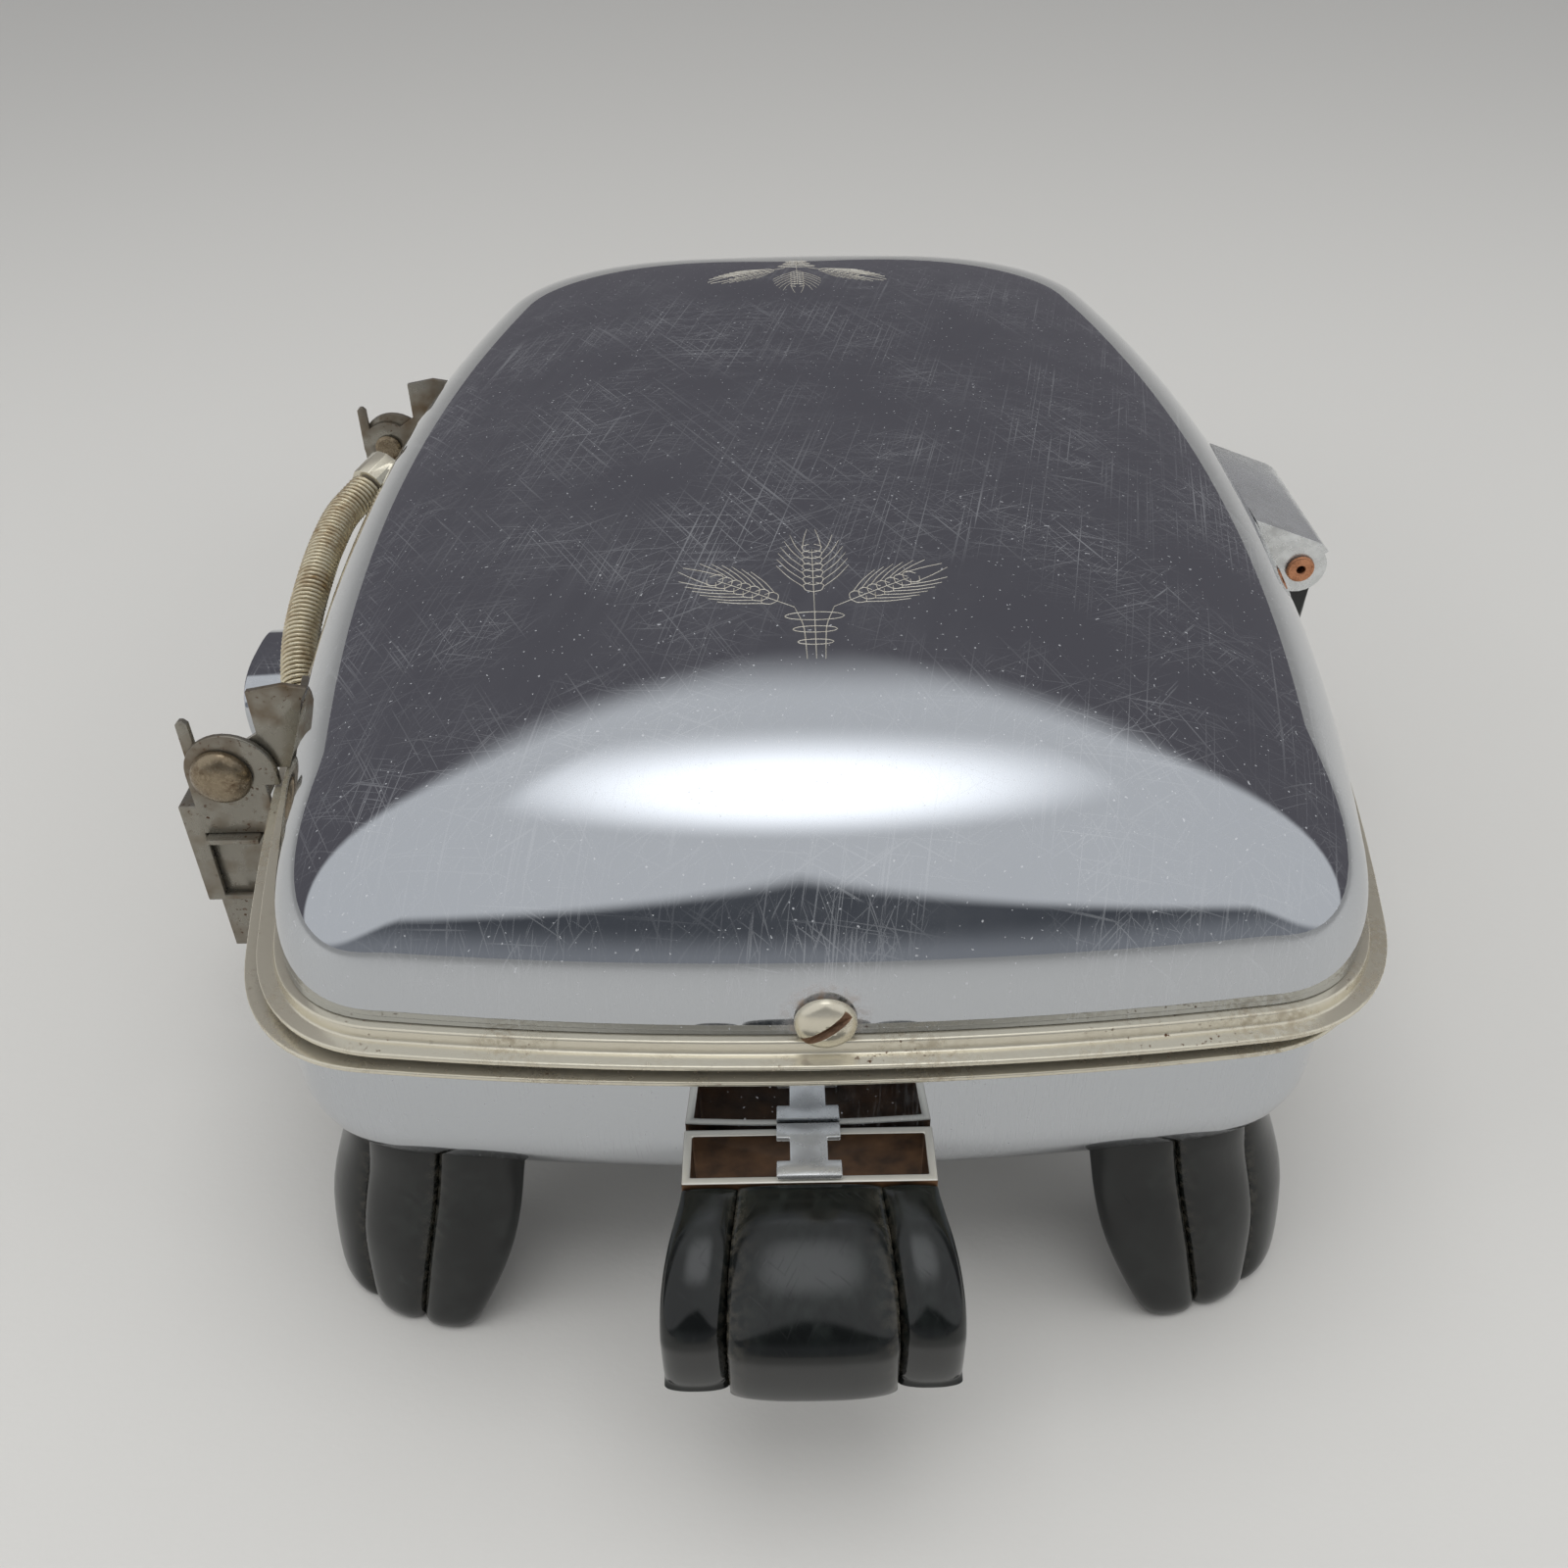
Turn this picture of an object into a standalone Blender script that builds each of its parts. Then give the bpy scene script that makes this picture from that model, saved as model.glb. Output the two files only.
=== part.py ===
# A table-top sandwich press: a chromed base on four claw feet and a domed lid on floating hinges.
# Metres, +Z up. The hinges are on the -X side and the lid's handle on the +X side.
# X is zero at the middle of the whole press, Y at its middle length, Z on the table.

import math

import bmesh
import bpy
from mathutils import Vector
from mathutils.bvhtree import BVHTree

for old in list(bpy.data.objects):
    bpy.data.objects.remove(old, do_unlink=True)

# Driving sizes of the two halves
RIM_HALF_WIDTH = 0.116
RIM_HALF_LENGTH = 0.168
SIDE_BOW = 0.020
END_BOW = 0.0075
CORNER_RADIUS = 0.022
RIM_HEIGHT = 0.076
RIM_GAP = 0.0026
LID_SHIFT = 0.003
GAP = 0.0003
OVERRUN = 0.004

# Pressed sheet
SHELL_WALL = 0.0009
SHELL_INSET = 0.005
CORNER_GROWTH_SHARE = 0.45
CORNER_LIMIT_SHARE = 0.92
CORNER_LEAST_SHARE = 0.2
BOWL_DEPTH = 0.048
BOWL_WALL = 0.020
BOWL_TURN = 0.060
BOWL_POWER_SHARE = 2.4
DOME_RISE = 0.045
DOME_POWER_SHARE = 2.6
BOWL_SHARES = (0.0, 0.02, 0.07, 0.16, 0.30, 0.52, 1.0)
DOME_SHARES = (0.0, 0.004, 0.02, 0.055, 0.115, 0.21, 0.36, 0.58, 0.90)
CORNER_STEPS = 4
END_STEPS = 4
SIDE_STEPS = 5
ROUND_SIDES = 12
PIN_HEAD_SHARES = ((1.0, 0.0), (1.0, 0.4), (0.78, 0.8), (0.35, 1.0))

# The nickelled rim frames, one on each half
RIM_SHEET = 0.001
FLANGE_WIDTH = 0.003
STEP_RISE = 0.0022
STEP_RUN = 0.0005
RISER_INSET = 0.014
LEDGE_DEPTH = 0.009
LEDGE_WIDTH = 0.007

# The cast grids and what heats them
GRID_CLEARANCE = 0.0018
GRID_PLATE = 0.0042
RIB_HEIGHT = 0.0025
RIB_WIDTH = 0.006
RIB_COUNT = 11
RIB_SIDE_INSET = 0.038
RIB_END_INSET = 0.040
DRIP_EDGE_WIDTH = 0.004
ELEMENT_DROP = 0.0135
ELEMENT_RADIUS = 0.0025
ELEMENT_BEND = 0.010
ELEMENT_SIDE_INSET = 0.040
ELEMENT_END_INSET = 0.053
ELEMENT_INNER_X = 0.026
ELEMENT_INNER_Y = 0.020
ELEMENT_END_Y = 0.006
BAR_HEIGHT = 0.005
BAR_WIDTH = 0.010
BAR_OVERREACH = 0.006
BAR_OFFSET = 0.068
REFLECTOR_SHEET = 0.0008
REFLECTOR_EDGE = 0.0045
REFLECTOR_GAP = 0.0015
CLIP_SHEET = 0.0008
CLIP_HALF_WIDTH = 0.007
CLIP_LIP = 0.004

# Claw feet: three lobes turned about a centre inside each corner
FOOT_INSET_X = 0.048
FOOT_INSET_Y = 0.036
FOOT_TURN_DEG = 27.0
FOOT_TOP_TURNS = (0.0, 12.0, 21.0, 25.0, 29.5, 50.0, 72.0, 78.0)
FOOT_TIP_TURNS = (0.0, 5.0, 8.0, 10.0, 12.5, 19.0, 27.5, 30.0)
FOOT_GROOVE_SHARES = (0.0, 0.05, 0.3, 1.0, 0.3, 0.0, 0.2, 0.6)
FOOT_SECTION_SHARES = (
    (0.70, 0.0, 0.0),
    (0.95, 0.0, 1.5),
    (1.0, 0.09, 1.5),
    (0.935, 0.40, 1.15),
    (0.77, 0.72, 1.0),
    (0.62, 1.0, 1.0),
    (0.05, 1.0, 0.0),
    (0.10, 0.52, 0.0),
    (0.45, 0.18, 0.0),
)
FOOT_REACH = 0.032
FOOT_RISE = 0.044
FOOT_GROOVE = 0.0026
FOOT_SCREW_PLACE = 0.009
FOOT_SCREW_RADIUS = 0.002
FOOT_SCREW_HEAD = 0.0042
FOOT_SCREW_HEAD_HEIGHT = 0.0025
FOOT_SCREW_DEPTH = 0.010

# End handles and the sheet brackets that carry them
BRACKET_HALF_WIDTH = 0.0215
BRACKET_SHEET = 0.0014
BRACKET_REACH = 0.0115
BRACKET_TOP_DROP = 0.017
BRACKET_HEIGHT = 0.016
STRAP_SHEET = 0.0012
STRAP_HALF_WIDTH = 0.0055
STRAP_WAIST = 0.0032
STRAP_FOOT = 0.0032
HANDLE_REACH = 0.027
HANDLE_HALF_WIDTH = 0.0245
HANDLE_ROOT_HALF_WIDTH = 0.0215
HANDLE_TOP_DROP = 0.0165
HANDLE_HEIGHT = 0.023
HANDLE_WIDTH_SHARES = (0.0, 0.28, 0.46, 0.52, 0.56, 0.605, 0.72, 0.88, 0.975, 1.0)
HANDLE_GROOVE_SHARES = (0.0, 0.04, 0.22, 0.7, 1.0, 0.5, 0.0, 0.05, 0.3, 0.8)
HANDLE_BACK_SHARES = (0.0, 0.0, 0.0, 0.1, 0.6, 1.0, 1.0, 1.0, 1.0, 1.0)
HANDLE_SECTION_SHARES = (
    (0.0, 0.70, 0.0),
    (0.0, 0.0, 0.4),
    (0.30, 0.012, 1.0),
    (0.58, 0.06, 1.0),
    (0.86, 0.18, 1.0),
    (1.0, 0.38, 1.0),
    (1.0, 0.68, 1.0),
    (0.985, 0.92, 1.0),
    (0.94, 1.0, 0.5),
    (0.70, 1.0, 0.0),
    (0.28, 0.86, 0.0),
)
HANDLE_GROOVE = 0.0026
HANDLE_SETBACK = 0.003
HANDLE_LOBE_DROP = 0.0012
HANDLE_BOLT_DROP = 0.0272
HANDLE_BOLT_RADIUS = 0.002
HANDLE_BOLT_HEAD = 0.004
HANDLE_BOLT_HEAD_HEIGHT = 0.0022
HANDLE_BOLT_LENGTH = 0.027
HANDLE_BOLT_CLEARANCE = 0.0012

# Floating hinges, drawn about the pivot: X toward the lid, Z up
HINGE_PLACE_SHARE = 0.503
PIVOT_OUT = 0.0045
PIVOT_RISE = 0.0035
PLATE = 0.0014
ARM_DISC_RADIUS = 0.0075
ARM_NECK_X = 0.0113
ARM_NECK_Z = 0.0005
ARM_STEP_X = 0.0153
ARM_STEP_Z = 0.0028
ARM_ROOT_X = 0.024
ARM_SECTOR_LEFT = 0.0088
ARM_SECTOR_NOTCH = 0.009
ARM_SECTOR_TOP = 0.0193
ARM_SECTOR_CROWN = 0.0014
ARM_FLANGE_DEPTH = 0.013
ARM_FLANGE_LOW = 0.0034
ARM_FLANGE_HIGH = 0.0140
HOOK_REACH = 0.0074
HOOK_RISE = 0.0124
HOOK_THICKNESS = 0.0025
EAR_RADIUS = 0.0097
EAR_CENTRE = 0.0019
EAR_LOW = 0.0029
SHELF_DROP = 0.0083
SHELF_DEPTH = 0.008
SHELF_RIGHT = 0.0065
LINK_LEFT = 0.0115
LINK_RIGHT = 0.0085
LINK_DROP = 0.0345
WINDOW_LEFT = 0.0075
WINDOW_RIGHT = 0.0050
WINDOW_HIGH = 0.0155
WINDOW_LOW = 0.0333
GUIDE_LEFT = 0.0095
GUIDE_RIGHT = 0.0205
GUIDE_WAIST_DROP = 0.0375
GUIDE_TOE_RIGHT = 0.0045
GUIDE_DROP = 0.0495
GUIDE_LIP = 0.0012
GUIDE_LIP_REACH = 0.0022
GUIDE_LIP_SIDE = 0.0006
GUIDE_FLANGE_DEPTH = 0.013
GUIDE_FLANGE_HIGH = 0.0185
GUIDE_FLANGE_LOW = 0.0340
RIVET_RADIUS = 0.0025
RIVET_HEAD_RADIUS = 0.0063
RIVET_HEAD_HEIGHT = 0.0036
RIVET_TAIL_RADIUS = 0.0038
RIVET_TAIL_HEIGHT = 0.0012
RIVET_HEAD_SHARES = ((1.0, 0.0), (0.97, 0.35), (0.80, 0.68), (0.52, 0.91), (0.2, 1.0))
RIVET_TAIL_SHARES = ((0.8, 1.0), (1.0, 0.6), (1.0, 0.0))
ARM_DISC_UNDER_DEG = (172.0, 345.0)
ARM_DISC_OVER_DEG = (55.0, 130.0)

# The lid's handle, its hood and its two eyelets
EYE_OUT = 0.0021
EYE_RISE = 0.0134
HOOD_HALF_LENGTH = 0.022
HOOD_SHEET = 0.0012
HOOD_RADIUS = 0.0074
HOOD_START_DEG = 35.0
HOOD_END_DEG = 69.0
HOOD_ROOT_INSET = 0.022
HOOD_FOOT_RISE = 0.0095
EAR_DISC_RADIUS = 0.0064
EAR_DISC_START_DEG = -110.0
EYELET_RADIUS = 0.0021
EYELET_BORE = 0.0010
EYELET_FLANGE_RADIUS = 0.0034
EYELET_FLANGE = 0.0008
EYELET_BEVEL_SHARE = 0.86
EYELET_DEPTH = 0.006
GRIP_CLEARANCE = 0.0006
GRIP_BOSS_RADIUS = 0.0048
GRIP_LIP = 0.0104
GRIP_DROP = 0.039
GRIP_WIDTH_SHARES = (0.0, 0.32, 0.48, 0.545, 0.61, 0.80, 1.0)
GRIP_GROOVE_SHARES = (0.0, 0.05, 0.35, 1.0, 0.35, 0.0, 0.4)
GRIP_BACK_SHARES = (0.0, 0.0, 0.0, 0.3, 1.0, 1.0, 1.0)
GRIP_SECTION_SHARES = (
    (-0.106, 0.143, 0.0),
    (-0.106, 0.94, 0.0),
    (0.087, 0.988, 0.3),
    (0.875, 1.0, 1.0),
    (1.0, 0.957, 1.0),
    (0.952, 0.857, 1.0),
    (0.683, 0.643, 1.0),
    (0.548, 0.405, 1.0),
)
GRIP_BOSS_DEG = (-20.0, 215.0)
GRIP_GROOVE = 0.0016
GRIP_SETBACK = 0.0012

# The lid's two slotted screws
LID_SCREW_RISE = 0.0066
LID_SCREW_RADIUS = 0.002
LID_SCREW_HEAD = 0.0052
LID_SCREW_HEAD_HEIGHT = 0.0028
LID_SCREW_LENGTH = 0.0098
SLOT_WIDTH = 0.0011
SLOT_DEPTH = 0.0012
SLOT_TURN_DEG = 38.0

# The plug guard on the hinge side
GUARD_HALF_WIDTH = 0.018
GUARD_HALF_HEIGHT = 0.0115
GUARD_DROP = 0.0285
GUARD_OUT = 0.026
GUARD_SHEET = 0.0009
GUARD_ROOT_INSET = 0.026
GUARD_CORNER_SHARE = 0.88
BLOCK_HALF_WIDTH = 0.0140
BLOCK_HALF_HEIGHT = 0.0055
BLOCK_STANDOUT = 0.005
BLOCK_LENGTH = 0.016
PIN_OFFSET = 0.0095
PIN_RADIUS = 0.0024
PIN_RECESS = 0.005
PIN_TIP_SHARES = ((1.0, 0.5), (0.87, 0.2), (0.5, 0.0))
PIN_SEAT = 0.006
LEAD_RADIUS = 0.0012
LEAD_BEND = 0.004

# The spring-wound conduit between the halves: a route chosen by hand, measured out from the rim's
# hinge side, along the press, and up from the base's rim
CONDUIT_RADIUS = 0.0045
CONDUIT_WIRE_RADIUS = 0.0005
CONDUIT_PITCH = 0.00195
CURL_POINTS = 8
CORE_RADIUS = 0.0028
CORE_STEPS = 20
FERRULE_RADIUS = 0.0052
FERRULE_LENGTH = 0.0085
NECK_RADIUS = 0.0040
NECK_LENGTH = 0.016
NECK_SHARE = 0.56
CONDUIT_ROUTE = (
    (-0.0010, -0.0450, -0.0240),
    (0.0021, -0.0394, -0.0177),
    (0.0050, -0.0310, -0.0100),
    (0.0066, -0.0180, -0.0030),
    (0.0059, -0.0030, 0.0035),
    (0.0048, 0.0125, 0.0079),
    (0.0018, 0.0246, 0.0114),
    (-0.0023, 0.0323, 0.0138),
)

# Sizes that follow from the ones above
LID_BASE = RIM_HEIGHT + RIM_GAP
FRAME_HEIGHT = RIM_SHEET + STEP_RISE
LID_FOOT = LID_BASE + FRAME_HEIGHT + GAP
BOWL_TOP = RIM_HEIGHT - FRAME_HEIGHT - GAP
BOWL_CURVE = BOWL_DEPTH - BOWL_WALL
PIVOT_X = -RIM_HALF_WIDTH - PIVOT_OUT
PIVOT_Z = RIM_HEIGHT + PIVOT_RISE
EYE_X = RIM_HALF_WIDTH + EYE_OUT + LID_SHIFT
EYE_Z = RIM_HEIGHT + EYE_RISE
HINGE_OFFSET = RIM_HALF_LENGTH * HINGE_PLACE_SHARE
HOOD_ROOT_X = RIM_HALF_WIDTH - HOOD_ROOT_INSET
FOOT_CENTRE_X = RIM_HALF_WIDTH - FOOT_INSET_X
FOOT_CENTRE_Y = RIM_HALF_LENGTH - FOOT_INSET_Y
RIB_PITCH = 2 * (RIM_HALF_WIDTH - RIB_SIDE_INSET) / (RIB_COUNT - 1)
RIB_HALF_LENGTH = RIM_HALF_LENGTH - RIB_END_INSET
ELEMENT_HALF_WIDTH = RIM_HALF_WIDTH - ELEMENT_SIDE_INSET
ELEMENT_HALF_LENGTH = RIM_HALF_LENGTH - ELEMENT_END_INSET
BAR_HALF_LENGTH = ELEMENT_HALF_WIDTH + BAR_OVERREACH
GUARD_REACH = RIM_HALF_WIDTH + GUARD_OUT
GUARD_ROOT = RIM_HALF_WIDTH - GUARD_ROOT_INSET
GUARD_Z = RIM_HEIGHT - GUARD_DROP
BLOCK_FACE = RIM_HALF_WIDTH - SHELL_INSET + BLOCK_STANDOUT
BLOCK_BACK = BLOCK_FACE - BLOCK_LENGTH
PIN_TIP = GUARD_REACH - PIN_RECESS
RIGHT_REACH = EYE_X + GRIP_LIP
BODY_X = (GUARD_REACH - RIGHT_REACH) / 2


def material(name, colour, roughness, metallic):
    made = bpy.data.materials.new(name)
    made.use_nodes = True
    shader = made.node_tree.nodes["Principled BSDF"]
    shader.inputs["Base Color"].default_value = (*colour, 1.0)
    shader.inputs["Roughness"].default_value = roughness
    shader.inputs["Metallic"].default_value = metallic
    return made


CHROME = material("chrome_plate", (0.60, 0.61, 0.63), 0.08, 1.0)
NICKEL = material("worn_nickel", (0.58, 0.54, 0.45), 0.30, 1.0)
BAKELITE = material("black_bakelite", (0.012, 0.014, 0.013), 0.22, 0.0)
STEEL = material("dull_steel", (0.30, 0.28, 0.25), 0.45, 1.0)
BRONZE = material("bronzed_rivet", (0.22, 0.15, 0.10), 0.40, 1.0)
COPPER = material("copper_eyelet", (0.55, 0.28, 0.16), 0.35, 1.0)
CAST = material("cast_aluminium", (0.42, 0.42, 0.42), 0.50, 1.0)
ELEMENT = material("element_sheath", (0.10, 0.09, 0.08), 0.55, 1.0)
CERAMIC = material("white_ceramic", (0.70, 0.66, 0.58), 0.45, 0.0)
BRASS = material("brass_pin", (0.60, 0.45, 0.20), 0.30, 1.0)
SLEEVE = material("woven_sleeve", (0.20, 0.17, 0.12), 0.85, 0.0)
BRIGHT = material("reflector_sheet", (0.55, 0.55, 0.55), 0.35, 1.0)


def empty(name, place, parent=None):
    made = bpy.data.objects.new(name, None)
    bpy.context.scene.collection.objects.link(made)
    if parent:
        made.parent = parent
        made.location = Vector(place) - Vector(parent["place"])
    else:
        made.location = place
    made["place"] = place
    return made


press = empty("press", (BODY_X, 0.0, 0.0))
press["place"] = (0.0, 0.0, 0.0)
hinge_slide = empty("hinge_slide", (PIVOT_X, 0.0, PIVOT_Z), press)
lid_pivot = empty("lid_pivot", (PIVOT_X, 0.0, PIVOT_Z), hinge_slide)
handle_pivot = empty("handle_pivot", (EYE_X, 0.0, EYE_Z), lid_pivot)


def add_mesh(name, shape, finish, parent, smooth_deg=35.0):
    """Puts a bmesh, drawn in the press's own coordinates, under a parent empty."""
    bmesh.ops.remove_doubles(shape, verts=shape.verts, dist=GAP / 100)
    bmesh.ops.recalc_face_normals(shape, faces=shape.faces)
    bmesh.ops.translate(shape, verts=shape.verts, vec=-Vector(parent["place"]))
    mesh = bpy.data.meshes.new(name)
    shape.to_mesh(mesh)
    shape.free()
    mesh.materials.append(finish)
    mesh.shade_smooth()
    mesh.set_sharp_from_angle(angle=math.radians(smooth_deg))
    made = bpy.data.objects.new(name, mesh)
    bpy.context.scene.collection.objects.link(made)
    made.parent = parent
    return made


def hide(helper):
    helper.hide_render = True
    helper.display_type = "WIRE"
    return helper


def boolean(target, helper, operation):
    step = target.modifiers.new(operation.lower() + "_" + helper.name, "BOOLEAN")
    step.operation = operation
    step.solver = "EXACT"
    step.object = hide(helper)
    return target


def loft(rings, closed=False, caps=True):
    """Skins rings of equal length into a bmesh, with n-gon caps or with the last ring joined to the first."""
    shape = bmesh.new()
    rows = [[shape.verts.new(point) for point in ring] for ring in rings]
    count = len(rows[0])
    pairs = list(zip(rows, rows[1:]))
    if closed:
        pairs.append((rows[-1], rows[0]))
    for lower, upper in pairs:
        for i in range(count):
            j = (i + 1) % count
            shape.faces.new((lower[i], lower[j], upper[j], upper[i]))
    if caps and not closed:
        shape.faces.new(list(reversed(rows[0])))
        shape.faces.new(rows[-1])
    return shape


def box(low, high):
    (x0, y0, z0), (x1, y1, z1) = low, high
    ring = ((x0, y0), (x1, y0), (x1, y1), (x0, y1))
    return loft([[(x, y, z) for x, y in ring] for z in (z0, z1)])


def join(first, second):
    """Adds the second bmesh to the first, as one more separate shell."""
    spare = bpy.data.meshes.new("spare")
    second.to_mesh(spare)
    second.free()
    first.from_mesh(spare)
    bpy.data.meshes.remove(spare)
    return first


def turned(profile, centre, axis, sides=ROUND_SIDES):
    """A solid of revolution. The profile holds (radius, place along the axis) from end to end."""
    axis = Vector(axis).normalized()
    side = axis.orthogonal().normalized()
    other = axis.cross(side)
    rings = []
    for radius, along in profile:
        ring = []
        for step in range(sides):
            turn = 2 * math.pi * step / sides
            spoke = side * math.cos(turn) + other * math.sin(turn)
            ring.append(Vector(centre) + axis * along + spoke * radius)
        rings.append(ring)
    return rings


def rod(centre, axis, start, end, radius, sides=ROUND_SIDES):
    return loft(turned(((radius, start), (radius, end)), centre, axis, sides))


def extruded(outline, axis, start, end):
    """Carries an (u, v) outline along Y as (x, z), or along X as (y, z)."""
    if axis == "Y":
        return loft([[(u, at, v) for u, v in outline] for at in (start, end)])
    return loft([[(at, u, v) for u, v in outline] for at in (start, end)])


def arc(centre, radius, start_deg, end_deg, steps):
    points = []
    for step in range(steps + 1):
        turn = math.radians(start_deg + (end_deg - start_deg) * step / steps)
        points.append((centre[0] + radius * math.cos(turn), centre[1] + radius * math.sin(turn)))
    return points


def plan_ring(half_width, half_length, corner, height, shift=0.0):
    """The bowed, round-cornered plan of both halves, as one ring of points at a height."""
    corner = min(corner, CORNER_LIMIT_SHARE * half_width)
    quarters = ((1, 1), (-1, 1), (-1, -1), (1, -1))
    flat = []
    for quarter, (sx, sy) in enumerate(quarters):
        cx = sx * (half_width - corner)
        cy = sy * (half_length - corner)
        flat += arc((cx, cy), corner, 90 * quarter, 90 * (quarter + 1), CORNER_STEPS)
        nx, ny = quarters[(quarter + 1) % 4]
        turn = math.radians(90 * (quarter + 1))
        ahead = (
            nx * (half_width - corner) + corner * math.cos(turn),
            ny * (half_length - corner) + corner * math.sin(turn),
        )
        last = flat[-1]
        steps = END_STEPS if quarter % 2 == 0 else SIDE_STEPS
        for step in range(1, steps):
            share = step / steps
            flat.append((last[0] + (ahead[0] - last[0]) * share, last[1] + (ahead[1] - last[1]) * share))
    ring = []
    for x, y in flat:
        across = 1 - SIDE_BOW / RIM_HALF_WIDTH * (y / half_length) ** 2
        along = 1 - END_BOW / RIM_HALF_LENGTH * (x / half_width) ** 2
        ring.append((x * across + shift, y * along, height))
    return ring


def rim_ring(inset, height, shift=0.0):
    corner = max(CORNER_RADIUS - inset, CORNER_RADIUS * CORNER_LEAST_SHARE)
    return plan_ring(RIM_HALF_WIDTH - inset, RIM_HALF_LENGTH - inset, corner, height, shift)


def shell_ring(inset, offset, height, shift=0.0):
    """A ring of a shell at an inset from the rim's edge, moved outwards by the offset."""
    deep = inset - SHELL_INSET
    corner = CORNER_RADIUS - SHELL_INSET + CORNER_GROWTH_SHARE * deep + offset
    out = offset - inset
    return plan_ring(RIM_HALF_WIDTH + out, RIM_HALF_LENGTH + out, corner, height, shift)


def quarter_curve(share, power):
    return (1 - (1 - share) ** power) ** (1 / power)


def bowl_profile():
    """(inset, height) down the outside of the base."""
    points = [(SHELL_INSET, BOWL_TOP)]
    for share in BOWL_SHARES:
        drop = BOWL_WALL + BOWL_CURVE * quarter_curve(share, BOWL_POWER_SHARE)
        points.append((SHELL_INSET + share * BOWL_TURN, RIM_HEIGHT - drop))
    return points


def dome_profile():
    """(inset, height) up the outside of the lid."""
    reach = RIM_HALF_WIDTH - SHELL_INSET
    return [
        (SHELL_INSET + share * reach, LID_FOOT + DOME_RISE * quarter_curve(share, DOME_POWER_SHARE))
        for share in DOME_SHARES
    ]


def bowl_inset(height):
    """How far in from the rim's edge the base's outside lies at a height."""
    drop = RIM_HEIGHT - height - BOWL_WALL
    if drop <= 0:
        return SHELL_INSET
    share = 1 - (1 - (drop / BOWL_CURVE) ** BOWL_POWER_SHARE) ** (1 / BOWL_POWER_SHARE)
    return SHELL_INSET + share * BOWL_TURN


def dome_inset(height):
    rise = (height - LID_FOOT) / DOME_RISE
    share = 1 - (1 - rise**DOME_POWER_SHARE) ** (1 / DOME_POWER_SHARE)
    return SHELL_INSET + share * (RIM_HALF_WIDTH - SHELL_INSET)


def side_reach(inset, y):
    """Half the width of a plan ring at a place along the press."""
    half_width = RIM_HALF_WIDTH - inset
    half_length = RIM_HALF_LENGTH - inset
    along = y / (half_length * (1 - END_BOW / RIM_HALF_LENGTH))
    return half_width * (1 - SIDE_BOW / RIM_HALF_WIDTH * along**2)


def shell(name, profile, direction, finish, parent, shift=0.0):
    """A pressed shell: the profile outside, the same moved in by the wall inside."""
    outside = [shell_ring(inset, 0.0, height, shift) for inset, height in profile]
    inside = []
    for place, (inset, height) in enumerate(profile):
        lift = 0.0 if place == 0 else direction * SHELL_WALL
        inside.append(shell_ring(inset, -SHELL_WALL, height + lift, shift))
    rings = list(reversed(outside)) + inside
    return add_mesh(name, loft(rings), finish, parent)


def shell_form(name, profile, direction, parent, offset, shift=0.0):
    """The closed outer form of a shell, grown by the offset, for cutting what seats on it."""
    rings = [shell_ring(inset, offset, height + direction * offset, shift) for inset, height in profile]
    first = [(x, y, z - direction * OVERRUN) for x, y, z in rings[0]]
    return hide(add_mesh(name, loft([first] + rings), BRIGHT, parent))


def frame_ring(name, base, up, parent, shift=0.0):
    """A rim frame: a flat flange, a small step, and a riser that ends in the ledge that carries a grid."""
    step_in = FLANGE_WIDTH + STEP_RUN
    section = (
        (0.0, 0.0),
        (0.0, RIM_SHEET),
        (FLANGE_WIDTH, RIM_SHEET),
        (step_in, FRAME_HEIGHT),
        (RISER_INSET, FRAME_HEIGHT),
        (RISER_INSET, LEDGE_DEPTH + RIM_SHEET),
        (RISER_INSET + RIM_SHEET + LEDGE_WIDTH, LEDGE_DEPTH + RIM_SHEET),
        (RISER_INSET + RIM_SHEET + LEDGE_WIDTH, LEDGE_DEPTH),
        (RISER_INSET + RIM_SHEET, LEDGE_DEPTH),
        (RISER_INSET + RIM_SHEET, STEP_RISE),
        (step_in + RIM_SHEET, STEP_RISE),
        (FLANGE_WIDTH + RIM_SHEET, 0.0),
    )
    rings = [rim_ring(inset, base + up * rise, shift) for inset, rise in section]
    return add_mesh(name, loft(rings, closed=True), NICKEL, parent, 30.0)


# Rim frames and shells

base_rim = frame_ring("base_rim", RIM_HEIGHT, -1, press)
lid_rim = frame_ring("lid_rim", LID_BASE, 1, lid_pivot, LID_SHIFT)
base_shell = shell("base_shell", bowl_profile(), 1, CHROME, press)
lid_shell = shell("lid_shell", dome_profile(), -1, CHROME, lid_pivot, LID_SHIFT)
bowl_seat = shell_form("bowl_seat", bowl_profile(), -1, press, GAP)
dome_seat = shell_form("dome_seat", dome_profile(), 1, lid_pivot, GAP, LID_SHIFT)


# Grids, elements and reflectors

GRID_INSET = RISER_INSET + RIM_SHEET + GRID_CLEARANCE
GRID_BACK = LEDGE_DEPTH - GAP
GRID_FACE = GRID_BACK - GRID_PLATE
GRID_TOP = GRID_FACE - RIB_HEIGHT


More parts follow.
